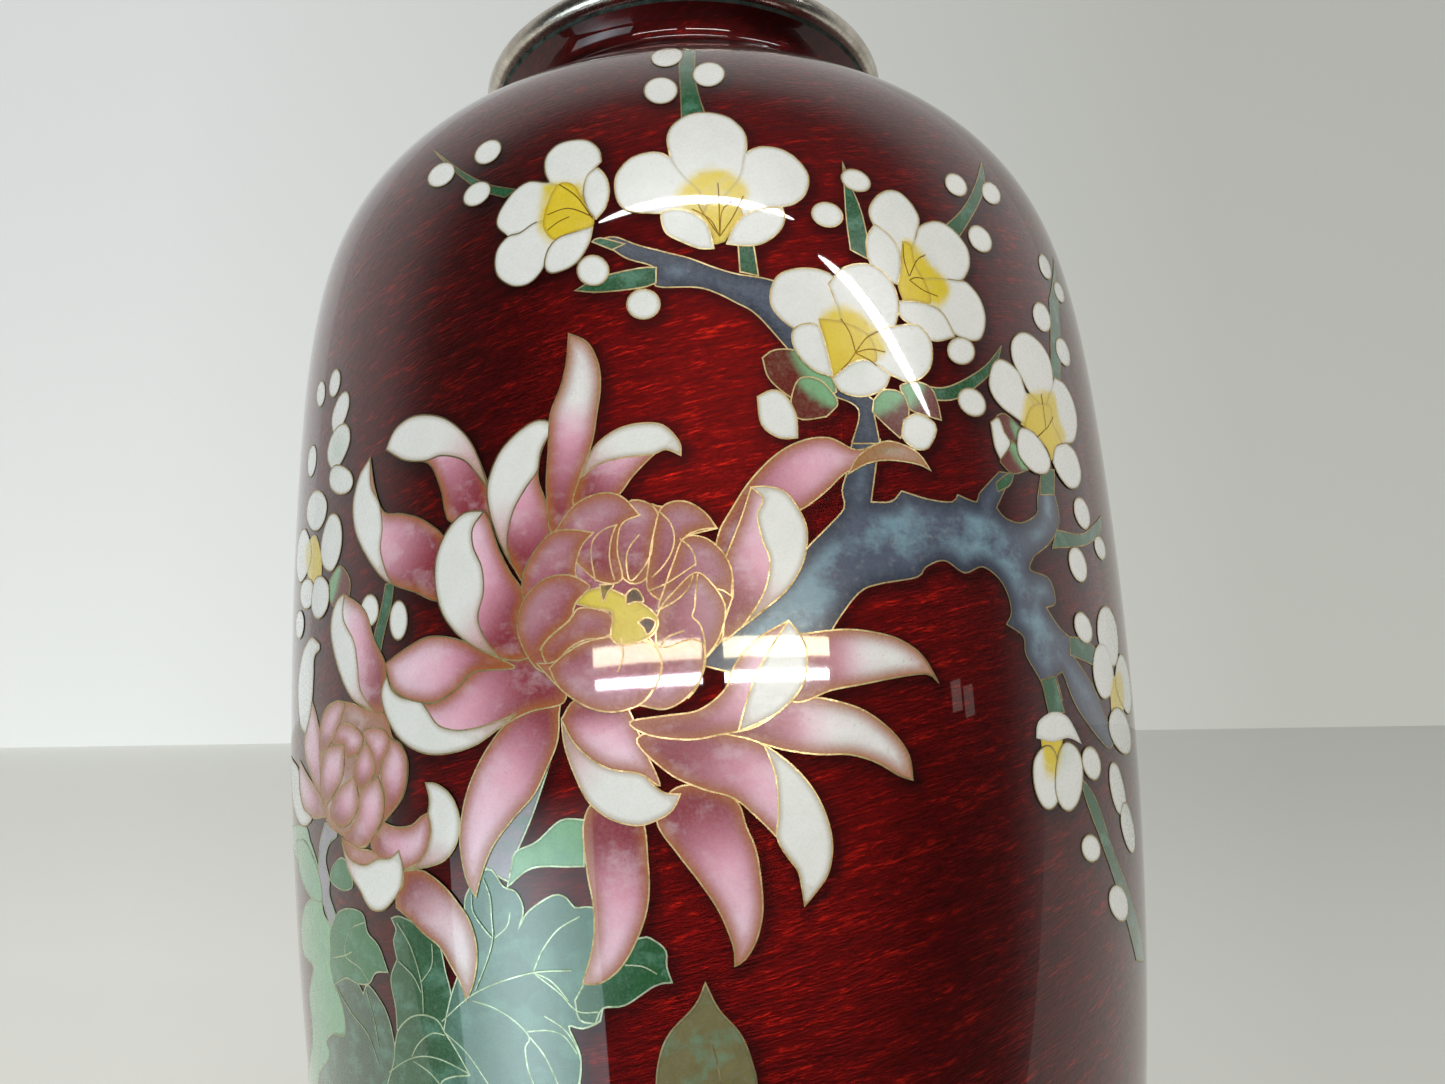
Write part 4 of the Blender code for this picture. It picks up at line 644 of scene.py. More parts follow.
class Graph:
    """Short words for building one material's nodes."""

    def __init__(self, name):
        self.material = bpy.data.materials.new(name)
        self.material.use_nodes = True
        self.tree = self.material.node_tree
        self.shader = self.tree.nodes["Principled BSDF"]

    def feed(self, value, socket):
        """Gives a socket a value, or the output of another node."""
        if isinstance(value, bpy.types.NodeSocket):
            self.tree.links.new(value, socket)
        else:
            socket.default_value = value

    def node(self, kind, inputs=None, **settings):
        """A new node with its inputs fed."""
        made = self.tree.nodes.new(kind)
        for key, value in settings.items():
            setattr(made, key, value)
        for key, value in (inputs or {}).items():
            self.feed(value, made.inputs[key])
        return made

    def link(self, value, name):
        """Feeds one input of the surface shader."""
        self.feed(value, self.shader.inputs[name])

    def place(self, scale, turn=(0, 0, 0), where=None):
        """The object's own coordinates, or other ones, turned and then stretched."""
        where = where or self.node("ShaderNodeTexCoord").outputs["Object"]
        if any(turn):
            where = self.node("ShaderNodeMapping", {"Vector": where, "Rotation": turn}).outputs[0]
        return self.node("ShaderNodeMapping", {"Vector": where, "Scale": scale}).outputs[0]

    def noise(self, where, scale, detail=3.0, rough=0.6, warp=0.0):
        """Cloudy values round one half."""
        made = self.node("ShaderNodeTexNoise", {"Vector": where, "Scale": scale, "Detail": detail,
                                                "Roughness": rough, "Distortion": warp})
        return made.outputs["Fac"]

    def spread(self, value, low, high, to_low=0.0, to_high=1.0):
        """Spreads the range low to high over another one, and holds the ends."""
        made = self.node("ShaderNodeMapRange", {"Value": value, "From Min": low, "From Max": high,
                                                "To Min": to_low, "To Max": to_high})
        return made.outputs[0]

    def math(self, operation, a, b=0.0):
        """One sum with a and b."""
        return self.node("ShaderNodeMath", {0: a, 1: b}, operation=operation).outputs[0]

    def mix(self, factor, a, b, blend="MIX"):
        """Mixes colour b over colour a; a colour of three numbers is taken as opaque."""
        made = self.node("ShaderNodeMix", data_type="RGBA", blend_type=blend)
        for name, value in (("Factor_Float", factor), ("A_Color", a), ("B_Color", b)):
            socket = next(s for s in made.inputs if s.identifier == name)
            self.feed((*value, 1.0) if isinstance(value, (tuple, np.ndarray)) else value, socket)
        return next(s for s in made.outputs if s.identifier == "Result_Color")

    def attribute(self, name):
        """Values that the mesh keeps for each of its points."""
        return self.node("ShaderNodeAttribute", attribute_name=name)

    def bump(self, height, strength, distance):
        """Makes the surface look uneven."""
        made = self.node("ShaderNodeBump", {"Height": height, "Strength": strength, "Distance": distance})
        self.link(made.outputs[0], "Normal")


BRUSH_SLANT = math.radians(12)    # the foil is brushed at this angle to the girth
FINE_STROKES = (300, 1, 2100)     # one stroke is seven times as long as it is broad
BROAD_STROKES = (60, 1, 420)


def make_red_ground():
    """Ruby glass over brushed silver foil."""
    g = Graph("red_enamel_over_foil")
    slant = (0, BRUSH_SLANT, 0)
    wall = g.attribute("wall").outputs["Vector"]
    streaks = g.noise(g.place(FINE_STROKES, slant, wall), 1.6, 4.0, 0.7, 0.3)
    broad = g.noise(g.place(BROAD_STROKES, slant, wall), 2.0, 4.0, 0.6, 0.3)
    cloud = g.noise(g.place(EVEN), 26.0, 3.0, 0.5)
    grain = g.noise(g.place(EVEN), 1500.0, 2.0, 0.5)
    level = g.math("ADD", g.math("MULTIPLY", streaks, 0.6), g.math("MULTIPLY", broad, 0.4))
    level = g.spread(level, 0.36, 0.68)
    dark = linear(66, 2, 2)
    mid = linear(122, 5, 4)
    bright = linear(240, 44, 20)
    colour = g.mix(level, dark, mid)
    glint = g.spread(g.math("MULTIPLY", streaks, broad), 0.29, 0.46)
    colour = g.mix(g.math("MULTIPLY", glint, 0.5), colour, bright)
    colour = g.mix(g.spread(cloud, 0.35, 0.7, 0.0, 0.35), colour, dark)
    # Painted shadow beside the wires, and the darker neck, mixed into the foil's colour.
    shadow_and_neck_dark = g.attribute("shadow_and_neck_dark").outputs["Fac"]
    colour = g.mix(g.math("MULTIPLY", shadow_and_neck_dark, 0.8), colour, linear(34, 4, 5))
    g.link(colour, "Base Color")
    g.link(0.92, "Metallic")
    g.link(g.spread(grain, 0.3, 0.7, 0.29, 0.40), "Roughness")
    g.link(1.0, "Coat Weight")
    g.link(0.02, "Coat Roughness")
    g.link(1.45, "Coat IOR")
    g.bump(g.math("ADD", streaks, g.math("MULTIPLY", grain, 0.2)), 0.28, 0.0006)
    return g.material


def make_enamel(name, speck_scale, speck_amount, dark_mix, light_mix, edge_colour, edge_mm, edge_amount,
                blotch=None):
    """Opaque enamel: the tint painted in each fill, clouded, speckled and stained beside its wire.

    light_mix is a colour and how much of it; blotch is the colour of large patches away from the wire.
    """
    g = Graph(name)
    tint = g.attribute("tint").outputs["Color"]
    clouds = g.noise(g.place(EVEN), 420.0, 4.0, 0.6)
    specks = g.noise(g.place(EVEN), speck_scale, 2.0, 0.7)
    colour = g.mix(g.spread(clouds, 0.35, 0.7, 0.0, 0.5), tint, dark_mix, "MULTIPLY")
    light = g.spread(g.noise(g.place((1, 1, 1.3)), 240.0, 4.0, 0.65), 0.5, 0.66)
    colour = g.mix(g.math("MULTIPLY", light, light_mix[3]), colour, light_mix[:3])
    pits = g.spread(specks, 0.60, 0.74)
    colour = g.mix(g.math("MULTIPLY", pits, speck_amount), colour, np.array(dark_mix) * 0.35)
    edge = g.attribute("edge_mm").outputs["Fac"]
    if blotch is not None:
        patches = g.spread(g.noise(g.place((1, 1, 1.3)), 110.0, 5.0, 0.7), 0.45, 0.62)
        deep = g.math("MULTIPLY", patches, g.spread(edge, 0.8, 2.4))
        colour = g.mix(g.math("MULTIPLY", deep, 0.85), colour, blotch)
    near = g.spread(edge, 0.0, edge_mm, 1.0, 0.0)
    near = g.math("MULTIPLY", g.math("POWER", near, 1.25), edge_amount)
    colour = g.mix(near, colour, edge_colour)
    g.link(colour, "Base Color")
    g.link(g.spread(specks, 0.3, 0.7, 0.22, 0.34), "Roughness")
    g.link(1.0, "Coat Weight")
    g.link(0.03, "Coat Roughness")
    g.bump(specks, 0.05, 0.0002)
    return g.material


def make_metal(name, bright, dull, rough, tarnish, scale, streak=EVEN):
    """Metal: bright where it is handled, dull in patches, finely scratched."""
    g = Graph(name)
    patches = g.noise(g.place(EVEN), scale, 5.0, 0.65, 0.4)
    scratches = g.noise(g.place(streak), 900.0, 2.0, 0.6)
    fine = g.noise(g.place(EVEN), scale * 9, 3.0, 0.6)
    amount = g.spread(g.math("ADD", g.math("MULTIPLY", patches, 0.7), g.math("MULTIPLY", fine, 0.3)), 0.4, 0.66)
    amount = g.math("MULTIPLY", amount, tarnish)
    colour = g.mix(amount, bright, dull)
    g.link(colour, "Base Color")
    g.link(1.0, "Metallic")
    g.link(g.math("ADD", g.spread(scratches, 0.3, 0.7, rough, rough + 0.10), g.math("MULTIPLY", amount, 0.18)),
           "Roughness")
    g.bump(g.math("ADD", scratches, fine), 0.12, 0.00015)
    return g.material


def make_lining():
    """Blue-grey counter-enamel, clouded and specked."""
    g = Graph("counter_enamel")
    clouds = g.noise(g.place(EVEN), 60.0, 5.0, 0.6)
    specks = g.noise(g.place(EVEN), 900.0, 2.0, 0.6)
    colour = g.mix(g.spread(clouds, 0.35, 0.7), linear(52, 84, 92), linear(82, 118, 122))
    colour = g.mix(g.spread(specks, 0.62, 0.75), colour, linear(20, 34, 38))
    g.link(colour, "Base Color")
    g.link(g.spread(specks, 0.3, 0.7, 0.16, 0.3), "Roughness")
    g.link(0.6, "Coat Weight")
    g.bump(clouds, 0.15, 0.0006)
    return g.material


AMBER = linear(168, 102, 40)
MATERIALS = {
    "red": make_red_ground(),
    "white": make_enamel("white_enamel", 2200.0, 0.26, (0.86, 0.90, 0.87), (0.80, 0.82, 0.78, 0.25),
                         linear(150, 140, 96), 0.55, 0.55),
    "pink": make_enamel("pink_enamel", 2000.0, 0.34, (0.88, 0.78, 0.82), (0.84, 0.70, 0.76, 0.3), AMBER, 1.5, 0.9),
    "yellow": make_enamel("yellow_enamel", 2300.0, 0.25, (0.88, 0.80, 0.45), (0.85, 0.70, 0.10, 0.3),
                          linear(150, 110, 20), 0.5, 0.6),
    "leaf": make_enamel("leaf_enamel", 2400.0, 0.5, (0.55, 0.62, 0.60), (0.14, 0.34, 0.24, 0.5),
                        linear(50, 80, 60), 0.4, 0.5),
    "bark": make_enamel("bark_enamel", 1100.0, 0.7, (0.58, 0.62, 0.66), (0.22, 0.36, 0.40, 0.0),
                        linear(40, 46, 58), 2.2, 0.85, blotch=linear(126, 160, 174)),
    "wire": make_metal("wire_silver", linear(214, 196, 148), linear(140, 112, 62), 0.28, 0.9, 300.0),
    "leaf_wire": make_metal("leaf_wire_silver", linear(206, 216, 184), linear(130, 146, 104), 0.3, 0.8, 300.0),
    "ring": make_metal("ring_silver", linear(222, 215, 203), linear(132, 124, 108), 0.16, 0.5, 140.0, (1, 1, 6)),
    "copper": make_metal("copper", linear(196, 118, 84), linear(110, 62, 44), 0.34, 0.9, 120.0),
    "stamen": make_metal("stamen_lines", linear(150, 110, 40), linear(90, 62, 26), 0.4, 0.9, 300.0),
    "petal_white": make_enamel("petal_white_enamel", 2600.0, 0.18, (0.88, 0.90, 0.86), (0.80, 0.82, 0.78, 0.2),
                               linear(146, 122, 70), 0.75, 0.7),
    "calyx": make_enamel("calyx_enamel", 2200.0, 0.3, (0.82, 0.76, 0.70), (0.30, 0.36, 0.20, 0.08),
                         linear(92, 58, 28), 0.5, 0.6),
    "oxide": make_metal("silver_oxide", linear(84, 98, 92), linear(38, 42, 38), 0.5, 1.0, 420.0),
    "lining": make_lining(),
}


# ---- Outlines -------------------------------------------------------------------------------------------

def drawn(text):
    """The points of an outline and which of them are sharp."""
    points = []
    sharp = []
    for word in text.split():
        sharp.append(word.endswith("*"))
        points.append([float(v) for v in word.rstrip("*").split(",")])
    return np.array(points), sharp


def curve_part(before, here, there, after, spacing):
    """Points from here towards there; None before or after stands for the end of a curve."""
    if before is None:
        before = here - (there - here) * 0.5
    if after is None:
        after = there + (there - here) * 0.5
    parts = max(2, int(np.linalg.norm(there - here) / spacing) + 1)
    return [0.5 * (2 * here + (there - before) * t
                   + (2 * before - 5 * here + 4 * there - after) * t * t
                   + (3 * here - before - 3 * there + after) * t ** 3) for t in np.arange(parts) / parts]


def smooth_outline(points, sharp, spacing=0.7):
    """A closed smooth curve through the points, turning a corner only at the sharp ones."""
    count = len(points)
    made = []
    for i in range(count):
        following = (i + 1) % count
        made += curve_part(None if sharp[i] else points[i - 1], points[i], points[following],
                           None if sharp[following] else points[(i + 2) % count], spacing)
    return np.array(made)


def smooth_open(points, spacing=0.5):
    """A smooth line through the points, open at both ends."""
    count = len(points)
    made = []
    for i in range(count - 1):
        made += curve_part(points[i - 1] if i else None, points[i], points[i + 1],
                           points[i + 2] if i + 2 < count else None, spacing)
    made.append(points[-1])
    return np.array(made)


OVAL_SPACING = 0.6
PETAL_TAPER = 0.22        # share of its breadth that a round petal loses at its root


def oval_outline(centre, long_axis, short_axis, towards=None):
    """An oval; a petal's is drawn in a little on the side of the blossom's heart."""
    size = max(math.hypot(*long_axis), math.hypot(*short_axis))
    count = max(14, int(2 * math.pi * size / OVAL_SPACING))
    turn = np.arange(count) / count * 2 * math.pi
    long_axis = np.array(long_axis)
    short_axis = np.array(short_axis)
    points = np.cos(turn)[:, None] * long_axis + np.sin(turn)[:, None] * short_axis
    if towards is not None:
        inward = np.array(towards) - np.array(centre)
        inward = inward / max(np.linalg.norm(inward), 1e-6)
        reach = points @ inward / size
        sideways = points - np.outer(points @ inward, inward)
        points = points - sideways * np.clip(reach, 0, 1)[:, None] * PETAL_TAPER
    return points + np.array(centre)


def inside(points, outline):
    """Which points are inside a closed outline."""
    x = points[:, 0][:, None]
    y = points[:, 1][:, None]
    x0, y0 = outline[:, 0], outline[:, 1]
    x1, y1 = np.roll(x0, -1), np.roll(y0, -1)
    crosses = (y0 > y) != (y1 > y)
    with np.errstate(divide="ignore", invalid="ignore"):
        at = x0 + (y - y0) / (y1 - y0) * (x1 - x0)
    return (np.sum(crosses & (x < at), axis=1) % 2) == 1


BLOCK = 4000              # points measured at one time


def edge_distance(points, outline):
    """How far each point is from the outline."""
    along = np.roll(outline, -1, axis=0) - outline
    length = np.maximum((along ** 2).sum(axis=1), 1e-12)
    best = np.full(len(points), 1e9)
    for first in range(0, len(points), BLOCK):
        away = points[first:first + BLOCK, None, :] - outline[None, :, :]
        t = np.clip((away * along).sum(axis=2) / length, 0, 1)
        gap = away - t[:, :, None] * along
        best[first:first + BLOCK] = np.sqrt((gap ** 2).sum(axis=2)).min(axis=1)
    return best


def signed_area(outline):
    """The area, below zero if the outline runs clockwise."""
    x, y = outline[:, 0], outline[:, 1]
    return 0.5 * np.sum(x * np.roll(y, -1) - np.roll(x, -1) * y)


def moved_in(outline, distance):
    """The outline moved inwards by distance, or outwards if it is negative."""
    ahead = np.roll(outline, -1, axis=0) - outline
    back = outline - np.roll(outline, 1, axis=0)
    ahead = ahead / np.maximum(np.linalg.norm(ahead, axis=1), 1e-9)[:, None]
    back = back / np.maximum(np.linalg.norm(back, axis=1), 1e-9)[:, None]
    left = np.stack([-(ahead + back)[:, 1], (ahead + back)[:, 0]], axis=1)
    left = left / np.maximum(np.linalg.norm(left, axis=1), 1e-6)[:, None]
    first = np.stack([-ahead[:, 1], ahead[:, 0]], axis=1)
    reach = 1 / np.maximum((left * first).sum(axis=1), 0.45)
    side = 1.0 if signed_area(outline) > 0 else -1.0
    return outline + left * (distance * side * reach)[:, None]


# ---- Which pieces stand for which CAD nodes -----------------------------------------------------------------

STANDS_FOR = {
    "leaf_big": ["leaf_large"], "leaf_low_dark": ["leaf_low"], "bud_closed": ["closed_bud"], "bulb_cup": ["bulb"],
    "ring_upper_back": ["petal_ring_upper"], "small_fallen": ["small_fallen_petal"], "small_back": ["small_bud"],
    "chrysanthemum_wires": ["chrysanthemum_wires"], "small_chrysanthemum_wires": ["small_chrysanthemum_wires"],
    "plum_blossom_wires": ["upper_plum_wires"], "branch_wires": ["lower_plum_wires"],
    "leaf_wires": ["leaf_left_wire", "leaf_low_wire"], "closed_bud_wires": ["closed_bud_wire"],
    "ground_enamel_front": ["ground_enamel", "red_cell_1", "red_cell_2", "red_cell_3", "red_cell_4", "silver_foil"],
    "mouth_ring": ["mouth_rim"], "foot_ring": ["foot_rim"], "lining": ["inner_enamel"],
    "base_lining": ["base_enamel"],
}
for same_name in ("branch_lower branch_upper leaf_left petal_boat petal_drop petal_fall_right petal_fall_tip "
                  "petal_hook_left petal_hook_top petal_left_bowl petal_left_crescent petal_left_edge "
                  "petal_low_fall petal_low_left petal_low_middle petal_right_low petal_right_mid "
                  "petal_right_top petal_right_white petal_tall petal_upper_left small_crescent").split():
    STANDS_FOR[same_name] = [same_name]
for letter, place_name in (("a", "left"), ("b", "top"), ("c", "upper_right"), ("d", "middle"), ("e", "right")):
    STANDS_FOR["blossom_" + letter + "_petal_1"] = ["blossom_" + place_name]
    STANDS_FOR["heart_" + letter] = ["blossom_" + place_name + "_heart"]


# ---- Laying fills and wires on the wall -------------------------------------------------------------------

BASE_LIFT = 0.05          # the lowest fills stand this far off the wall's surface, in mm
LAYER_LIFT = 0.012        # each fill over another one is raised by this
WIRE_LIFT = 0.006
WIRE_WIDTH = 0.18
FINE_WIRE = 0.14
GRID = 0.85               # spacing of the points inside a fill
INNER_ROW = 0.34          # a row of points this far inside its edge
EDGE_CLEAR = 0.28         # and no other points nearer to the edge than this
NEIGHBOUR = 0.4           # outlines nearer than this are laid as if they overlapped
laid = []                 # (outline, layer) of everything laid so far


def layer_for(outline):
    """The lowest layer that lies over everything already laid under the outline."""
    low = outline.min(axis=0) - NEIGHBOUR
    high = outline.max(axis=0) + NEIGHBOUR
    layer = 0
    for other, other_layer in laid:
        if (other.min(axis=0) < high).all() and (other.max(axis=0) > low).all():
            layer = max(layer, other_layer + 1)
    laid.append((outline, layer))
    return layer


def as_object(name, points, faces, look):
    """A smooth mesh with a look's material, riding on the vase's body."""
    mesh = bpy.data.meshes.new(name)
    mesh.from_pydata([tuple(p) for p in points], [], faces)
    mesh.materials.append(MATERIALS[look])
    mesh.update()
    mesh.polygons.foreach_set("use_smooth", [True] * len(mesh.polygons))
    made = bpy.data.objects.new(name, mesh)
    scene.collection.objects.link(made)
    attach(made, "root")
    if name in STANDS_FOR:
        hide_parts(*STANDS_FOR[name])
    return made


def store(made, name, kind, values):
    """Keeps one value for each point of a mesh, for its material to read."""
    attribute = made.data.attributes.new(name, kind, "POINT")
    key = {"FLOAT_COLOR": "color", "FLOAT_VECTOR": "vector"}.get(kind, "value")
    attribute.data.foreach_set(key, np.ascontiguousarray(values, np.float32).ravel())


def fill(name, outline, painter, look):
    """One enamel fill, and how far off the wall it lies."""
    if signed_area(outline) < 0:
        outline = outline[::-1].copy()
    layer = layer_for(outline)
    lift = BASE_LIFT + layer * LAYER_LIFT
    low = outline.min(axis=0)
    high = outline.max(axis=0)
    xs = np.arange(low[0] + GRID / 2, high[0], GRID)
    ys = np.arange(low[1] + GRID / 2, high[1], GRID)
    grid = np.array([(x + (0.5 * GRID if j % 2 else 0), y) for j, y in enumerate(ys) for x in xs])
    inner = np.concatenate([grid.reshape(-1, 2), moved_in(outline, INNER_ROW)])
    inner = inner[inside(inner, outline)]
    inner = inner[edge_distance(inner, outline) > EDGE_CLEAR]
    count = len(outline)
    rim = [(i, (i + 1) % count) for i in range(count)]
    found = delaunay_2d_cdt([Vector(p) for p in np.concatenate([outline, inner])], rim, [], 1, 1e-4)
    flat = np.array([tuple(v) for v in found[0]])
    faces = [tuple(f) for f in found[2]]
    centres = np.array([flat[list(f)].mean(axis=0) for f in faces])
    faces = [f for f, ok in zip(faces, inside(centres, outline)) if ok]
    made = as_object(name, on_wall(flat, lift), faces, look)
    gap = edge_distance(flat, outline)
    store(made, "edge_mm", "FLOAT", gap)
    colours = np.ones((len(flat), 4))
    colours[:, :3] = painter(flat, gap)
    store(made, "tint", "FLOAT_COLOR", colours)
    return lift


def ribbon(points, width, lift, closed):
    """The points and faces of a flat wire along a line of the picture."""
    points = np.asarray(points, float)
    if closed:
        inner = moved_in(points, width / 2)
        outer = moved_in(points, -width / 2)
    else:
        ahead = np.gradient(points, axis=0)
        ahead = ahead / np.maximum(np.linalg.norm(ahead, axis=1), 1e-9)[:, None]
        side = np.stack([-ahead[:, 1], ahead[:, 0]], axis=1)
        inner = points + side * width / 2
        outer = points - side * width / 2
    count = len(points)
    both = np.concatenate([on_wall(inner, lift), on_wall(outer, lift)])
    faces = []
    for i in range(count if closed else count - 1):
        j = (i + 1) % count
        faces.append((i, j, count + j, count + i))
    return both, faces


wire_sets = {}            # group name -> [points, faces] of its wires


def add_wire(group, points, width, lift, closed=True):
    """Adds a wire to its group, with every face turned outwards."""
    made, faces = ribbon(points, width, lift, closed)
    store_points, store_faces = wire_sets.setdefault(group, ([], []))
    first = sum(len(p) for p in store_points)
    store_points.append(made)
    a, b, c = (made[k] for k in faces[0][:3])
    normal = np.cross(b - a, c - b)
    outward = a * np.array([1, 1, 0])
    flip = normal @ outward < 0
    for face in faces:
        face = face[::-1] if flip else face
        store_faces.append(tuple(first + k for k in face))


# ---- What each colour looks like ----------------------------------------------------------------------------

WHITE = linear(236, 239, 235)
WHITE_GREEN = linear(210, 222, 211)
BLUSH = linear(242, 210, 224)
ROSE = linear(224, 164, 184)
DEEP_ROSE = linear(140, 54, 64)
YELLOW = linear(228, 204, 46)
OLIVE = linear(150, 140, 100)
# What each kind of fill is made of, and its tint if it has only one.
KINDS = {
    "petal": ("pink", None), "whitepart": ("petal_white", None), "calyx": ("calyx", None), "white": ("white", WHITE),
    "yellow": ("yellow", YELLOW), "bloomheart": ("yellow", YELLOW), "heart": ("yellow", linear(222, 204, 70)),
    "bark": ("bark", linear(88, 97, 114)), "smallbody": ("pink", linear(164, 118, 98)), "olive": ("pink", OLIVE),
    "green": ("leaf", linear(36, 92, 54)), "stemgrey": ("leaf", linear(158, 152, 162)),
    "leafmid": ("leaf", linear(50, 122, 70)), "leafgrey": ("leaf", linear(58, 90, 62)),
    "leafblue": ("leaf", linear(74, 118, 98)), "leafdark": ("leaf", linear(38, 94, 52)),
    "leaflight": ("leaf", linear(128, 184, 138)), "sepal": ("leaf", linear(122, 116, 78)),
}
# Where a petal's white end stops and its pink is reached, as shares of the way from tip to root.
WHITE_ENDS = {
    "petal_tall": (0.28, 0.52), "petal_right_mid": (0.34, 0.74), "petal_right_low": (0.36, 0.72),
    "petal_far_left": (0.0, 0.3), "small_fallen": (-0.3, 1.2),
}


def blend(a, b, t):
    """From colour a to colour b as t goes from 0 to 1, slow at both ends."""
    t = np.clip(t, 0, 1)[:, None]
    t = t * t * (3 - 2 * t)
    return a * (1 - t) + b * t


def way(points, ends):
    """How far along from tip to root each point is."""
    tip = np.array(ends[:2], float)
    root = np.array(ends[2:], float)
    along = root - tip
    return ((points - tip) @ along) / (along @ along)


def petal_painter(name, ends):
    """Pale at the tip, deep rose at the root, reddish beside the wire."""
    white = WHITE_ENDS.get(name)

    def paint(points, gap):
        t = way(points, ends)
        colour = blend(BLUSH, ROSE, t / 0.7)
        colour = blend(colour, DEEP_ROSE, (t - 0.44) / 0.55)
        if name.startswith(("ring", "bulb")):
            colour = blend(colour, DEEP_ROSE, np.full(len(t), 0.56) + 0.25 * t)
        if white:
            colour = blend(np.broadcast_to(WHITE, colour.shape), colour, (t - white[0]) / (white[1] - white[0]))
        rim = (1 - np.clip(gap / 1.9, 0, 1))[:, None]
        middle = np.clip(gap / 3.0, 0, 1)[:, None]
        colour = colour * (1 - 0.5 * rim) + linear(150, 74, 62) * 0.5 * rim
        return colour * (0.88 + 0.2 * middle)
    return paint


def white_part_painter(ends):
    """The white turned-over part of a petal, pink and then olive towards its root."""
    def paint(points, gap):
        t = way(points, ends)
        colour = blend(np.broadcast_to(WHITE, (len(points), 3)), linear(214, 176, 180), (t - 0.42) / 0.4)
        return blend(colour, OLIVE, (t - 0.72) / 0.4)
    return paint


def plain_painter(colour):
    """One colour all over."""
    def paint(points, gap):
        return np.broadcast_to(colour, (len(points), 3))
    return paint


def calyx_painter(middle):
    """Green beside the blossom, brown-red at its outer end."""
    def paint(points, gap):
        away = np.linalg.norm(points - middle, axis=1)
        share = (away - away.min()) / max(away.max() - away.min(), 1e-6)
        return blend(linear(128, 182, 134), linear(104, 30, 14), (share - 0.32) / 0.2)
    return paint


def bloom_painter(heart, root):
    """White, faintly green at the root, and yellow where the blossom's heart spreads into it."""
    if root is None:
        return plain_painter(WHITE)

    def paint(points, gap):
        away = np.linalg.norm(points - root, axis=1)
        colour = blend(WHITE_GREEN, WHITE, away / 5.0)
        if heart is not None:
            within = np.where(inside(points, heart), 1.0, -1.0) * edge_distance(points, heart)
            colour = blend(colour, YELLOW, (within + 0.5) / 1.1)
        return colour
    return paint


# ---- The picture laid on the wall ---------------------------------------------------------------------------

covered = []              # outlines that the ground's painted shadow follows


def add_open_runs(group, outline, hidden, lift):
    """A wire along the parts of an outline that aren't hidden."""
    if not hidden.any():
        add_wire(group, outline, WIRE_WIDTH, lift)
        return
    start = int(np.argmax(hidden))
    run = []
    for k in range(len(outline) + 1):
        i = (start + k) % len(outline)
        if hidden[i]:
            if len(run) > 2:
                add_wire(group, outline[run], WIRE_WIDTH, lift, closed=False)
            run = []
        else:
            run.append(i)


def lay_drawn(item, group, wired=True, ends=None):
    """One drawn fill; ends are the tip and root of its shading, used if it has none of its own."""
    name, kind, own_ends, text = item
    outline = smooth_outline(*drawn(text))
    ends = own_ends or ends
    look, tint = KINDS[kind]
    if kind == "petal":
        painter = petal_painter(name, ends)
    elif kind == "whitepart":
        painter = white_part_painter(ends)
    elif kind == "calyx":
        middles = [heart.mean(axis=0) for heart in hearts.values()]
        painter = calyx_painter(min(middles, key=lambda m: np.linalg.norm(m - outline.mean(axis=0))))
    else:
        painter = plain_painter(tint)
    lift = fill(name, outline, painter, look)
    covered.append(outline)
    if wired:
        add_wire(group, outline, WIRE_WIDTH, lift + WIRE_LIFT)
    return ends


def lay_petal(item, group, heart, others):
    """One round petal of a plum blossom; its wire is left out where it runs under a sister petal."""
    name, centre, long_axis, short_axis, towards = item
    outline = oval_outline(centre, long_axis, short_axis, towards)
    root = np.array(towards) if towards is not None else None
    lift = fill(name, outline, bloom_painter(heart, root), "white")
    covered.append(outline)
    hidden = np.zeros(len(outline), bool)
    for other in others:
        hidden |= inside(outline, other)
    if heart is not None and others:
        hidden |= inside(outline, heart)
    add_open_runs(group, outline, hidden, lift + WIRE_LIFT)


def lay_bloom(items, heart, merge):
    """A blossom from its back petals to its front ones; the back ones run into each other and the heart."""
    outlines = [smooth_outline(*drawn(item[3])) for item in items]
    middle = [item[1] for item in items].index("bloomheart")
    for i, (item, outline) in enumerate(zip(items, outlines)):
        if i == middle:
            fill(item[0], outline, plain_painter(YELLOW), "yellow")
            continue
        behind = i < middle
        lift = fill(item[0], outline, bloom_painter(heart if behind else None, heart.mean(axis=0)), "white")
        covered.append(outline)
        hidden = np.zeros(len(outline), bool)
        if behind:
            hidden |= inside(outline, heart)
            for j in range(middle):
                if j > i or (j < i and merge):
                    hidden |= inside(outline, outlines[j])
        add_open_runs("plum", outline, hidden, lift + WIRE_LIFT)


def letter_of(item):
    """The blossom that a piece belongs to, as in heart_a or blossom_a_petal_1."""
    return item[0].split("_")[1]


hearts = {}
for item in HEARTS + [item for item in EDGE_BLOSSOMS if item[1] == "yellow"]:
    hearts[letter_of(item)] = smooth_outline(*drawn(item[3]))

for item in BRANCHES:
    lay_drawn(item, "branch")

for item in HEARTS:
    lay_drawn(item, "plum", wired=False)

for letter, merge in (("a", False), ("b", True), ("e", True), ("c", False), ("d", False)):
    lay_bloom([item for item in DRAWN_BLOSSOMS if letter_of(item) == letter], hearts[letter], merge)

edge_groups = {}
for item in EDGE_BLOSSOMS:
    edge_groups.setdefault(letter_of(item), []).append(item)

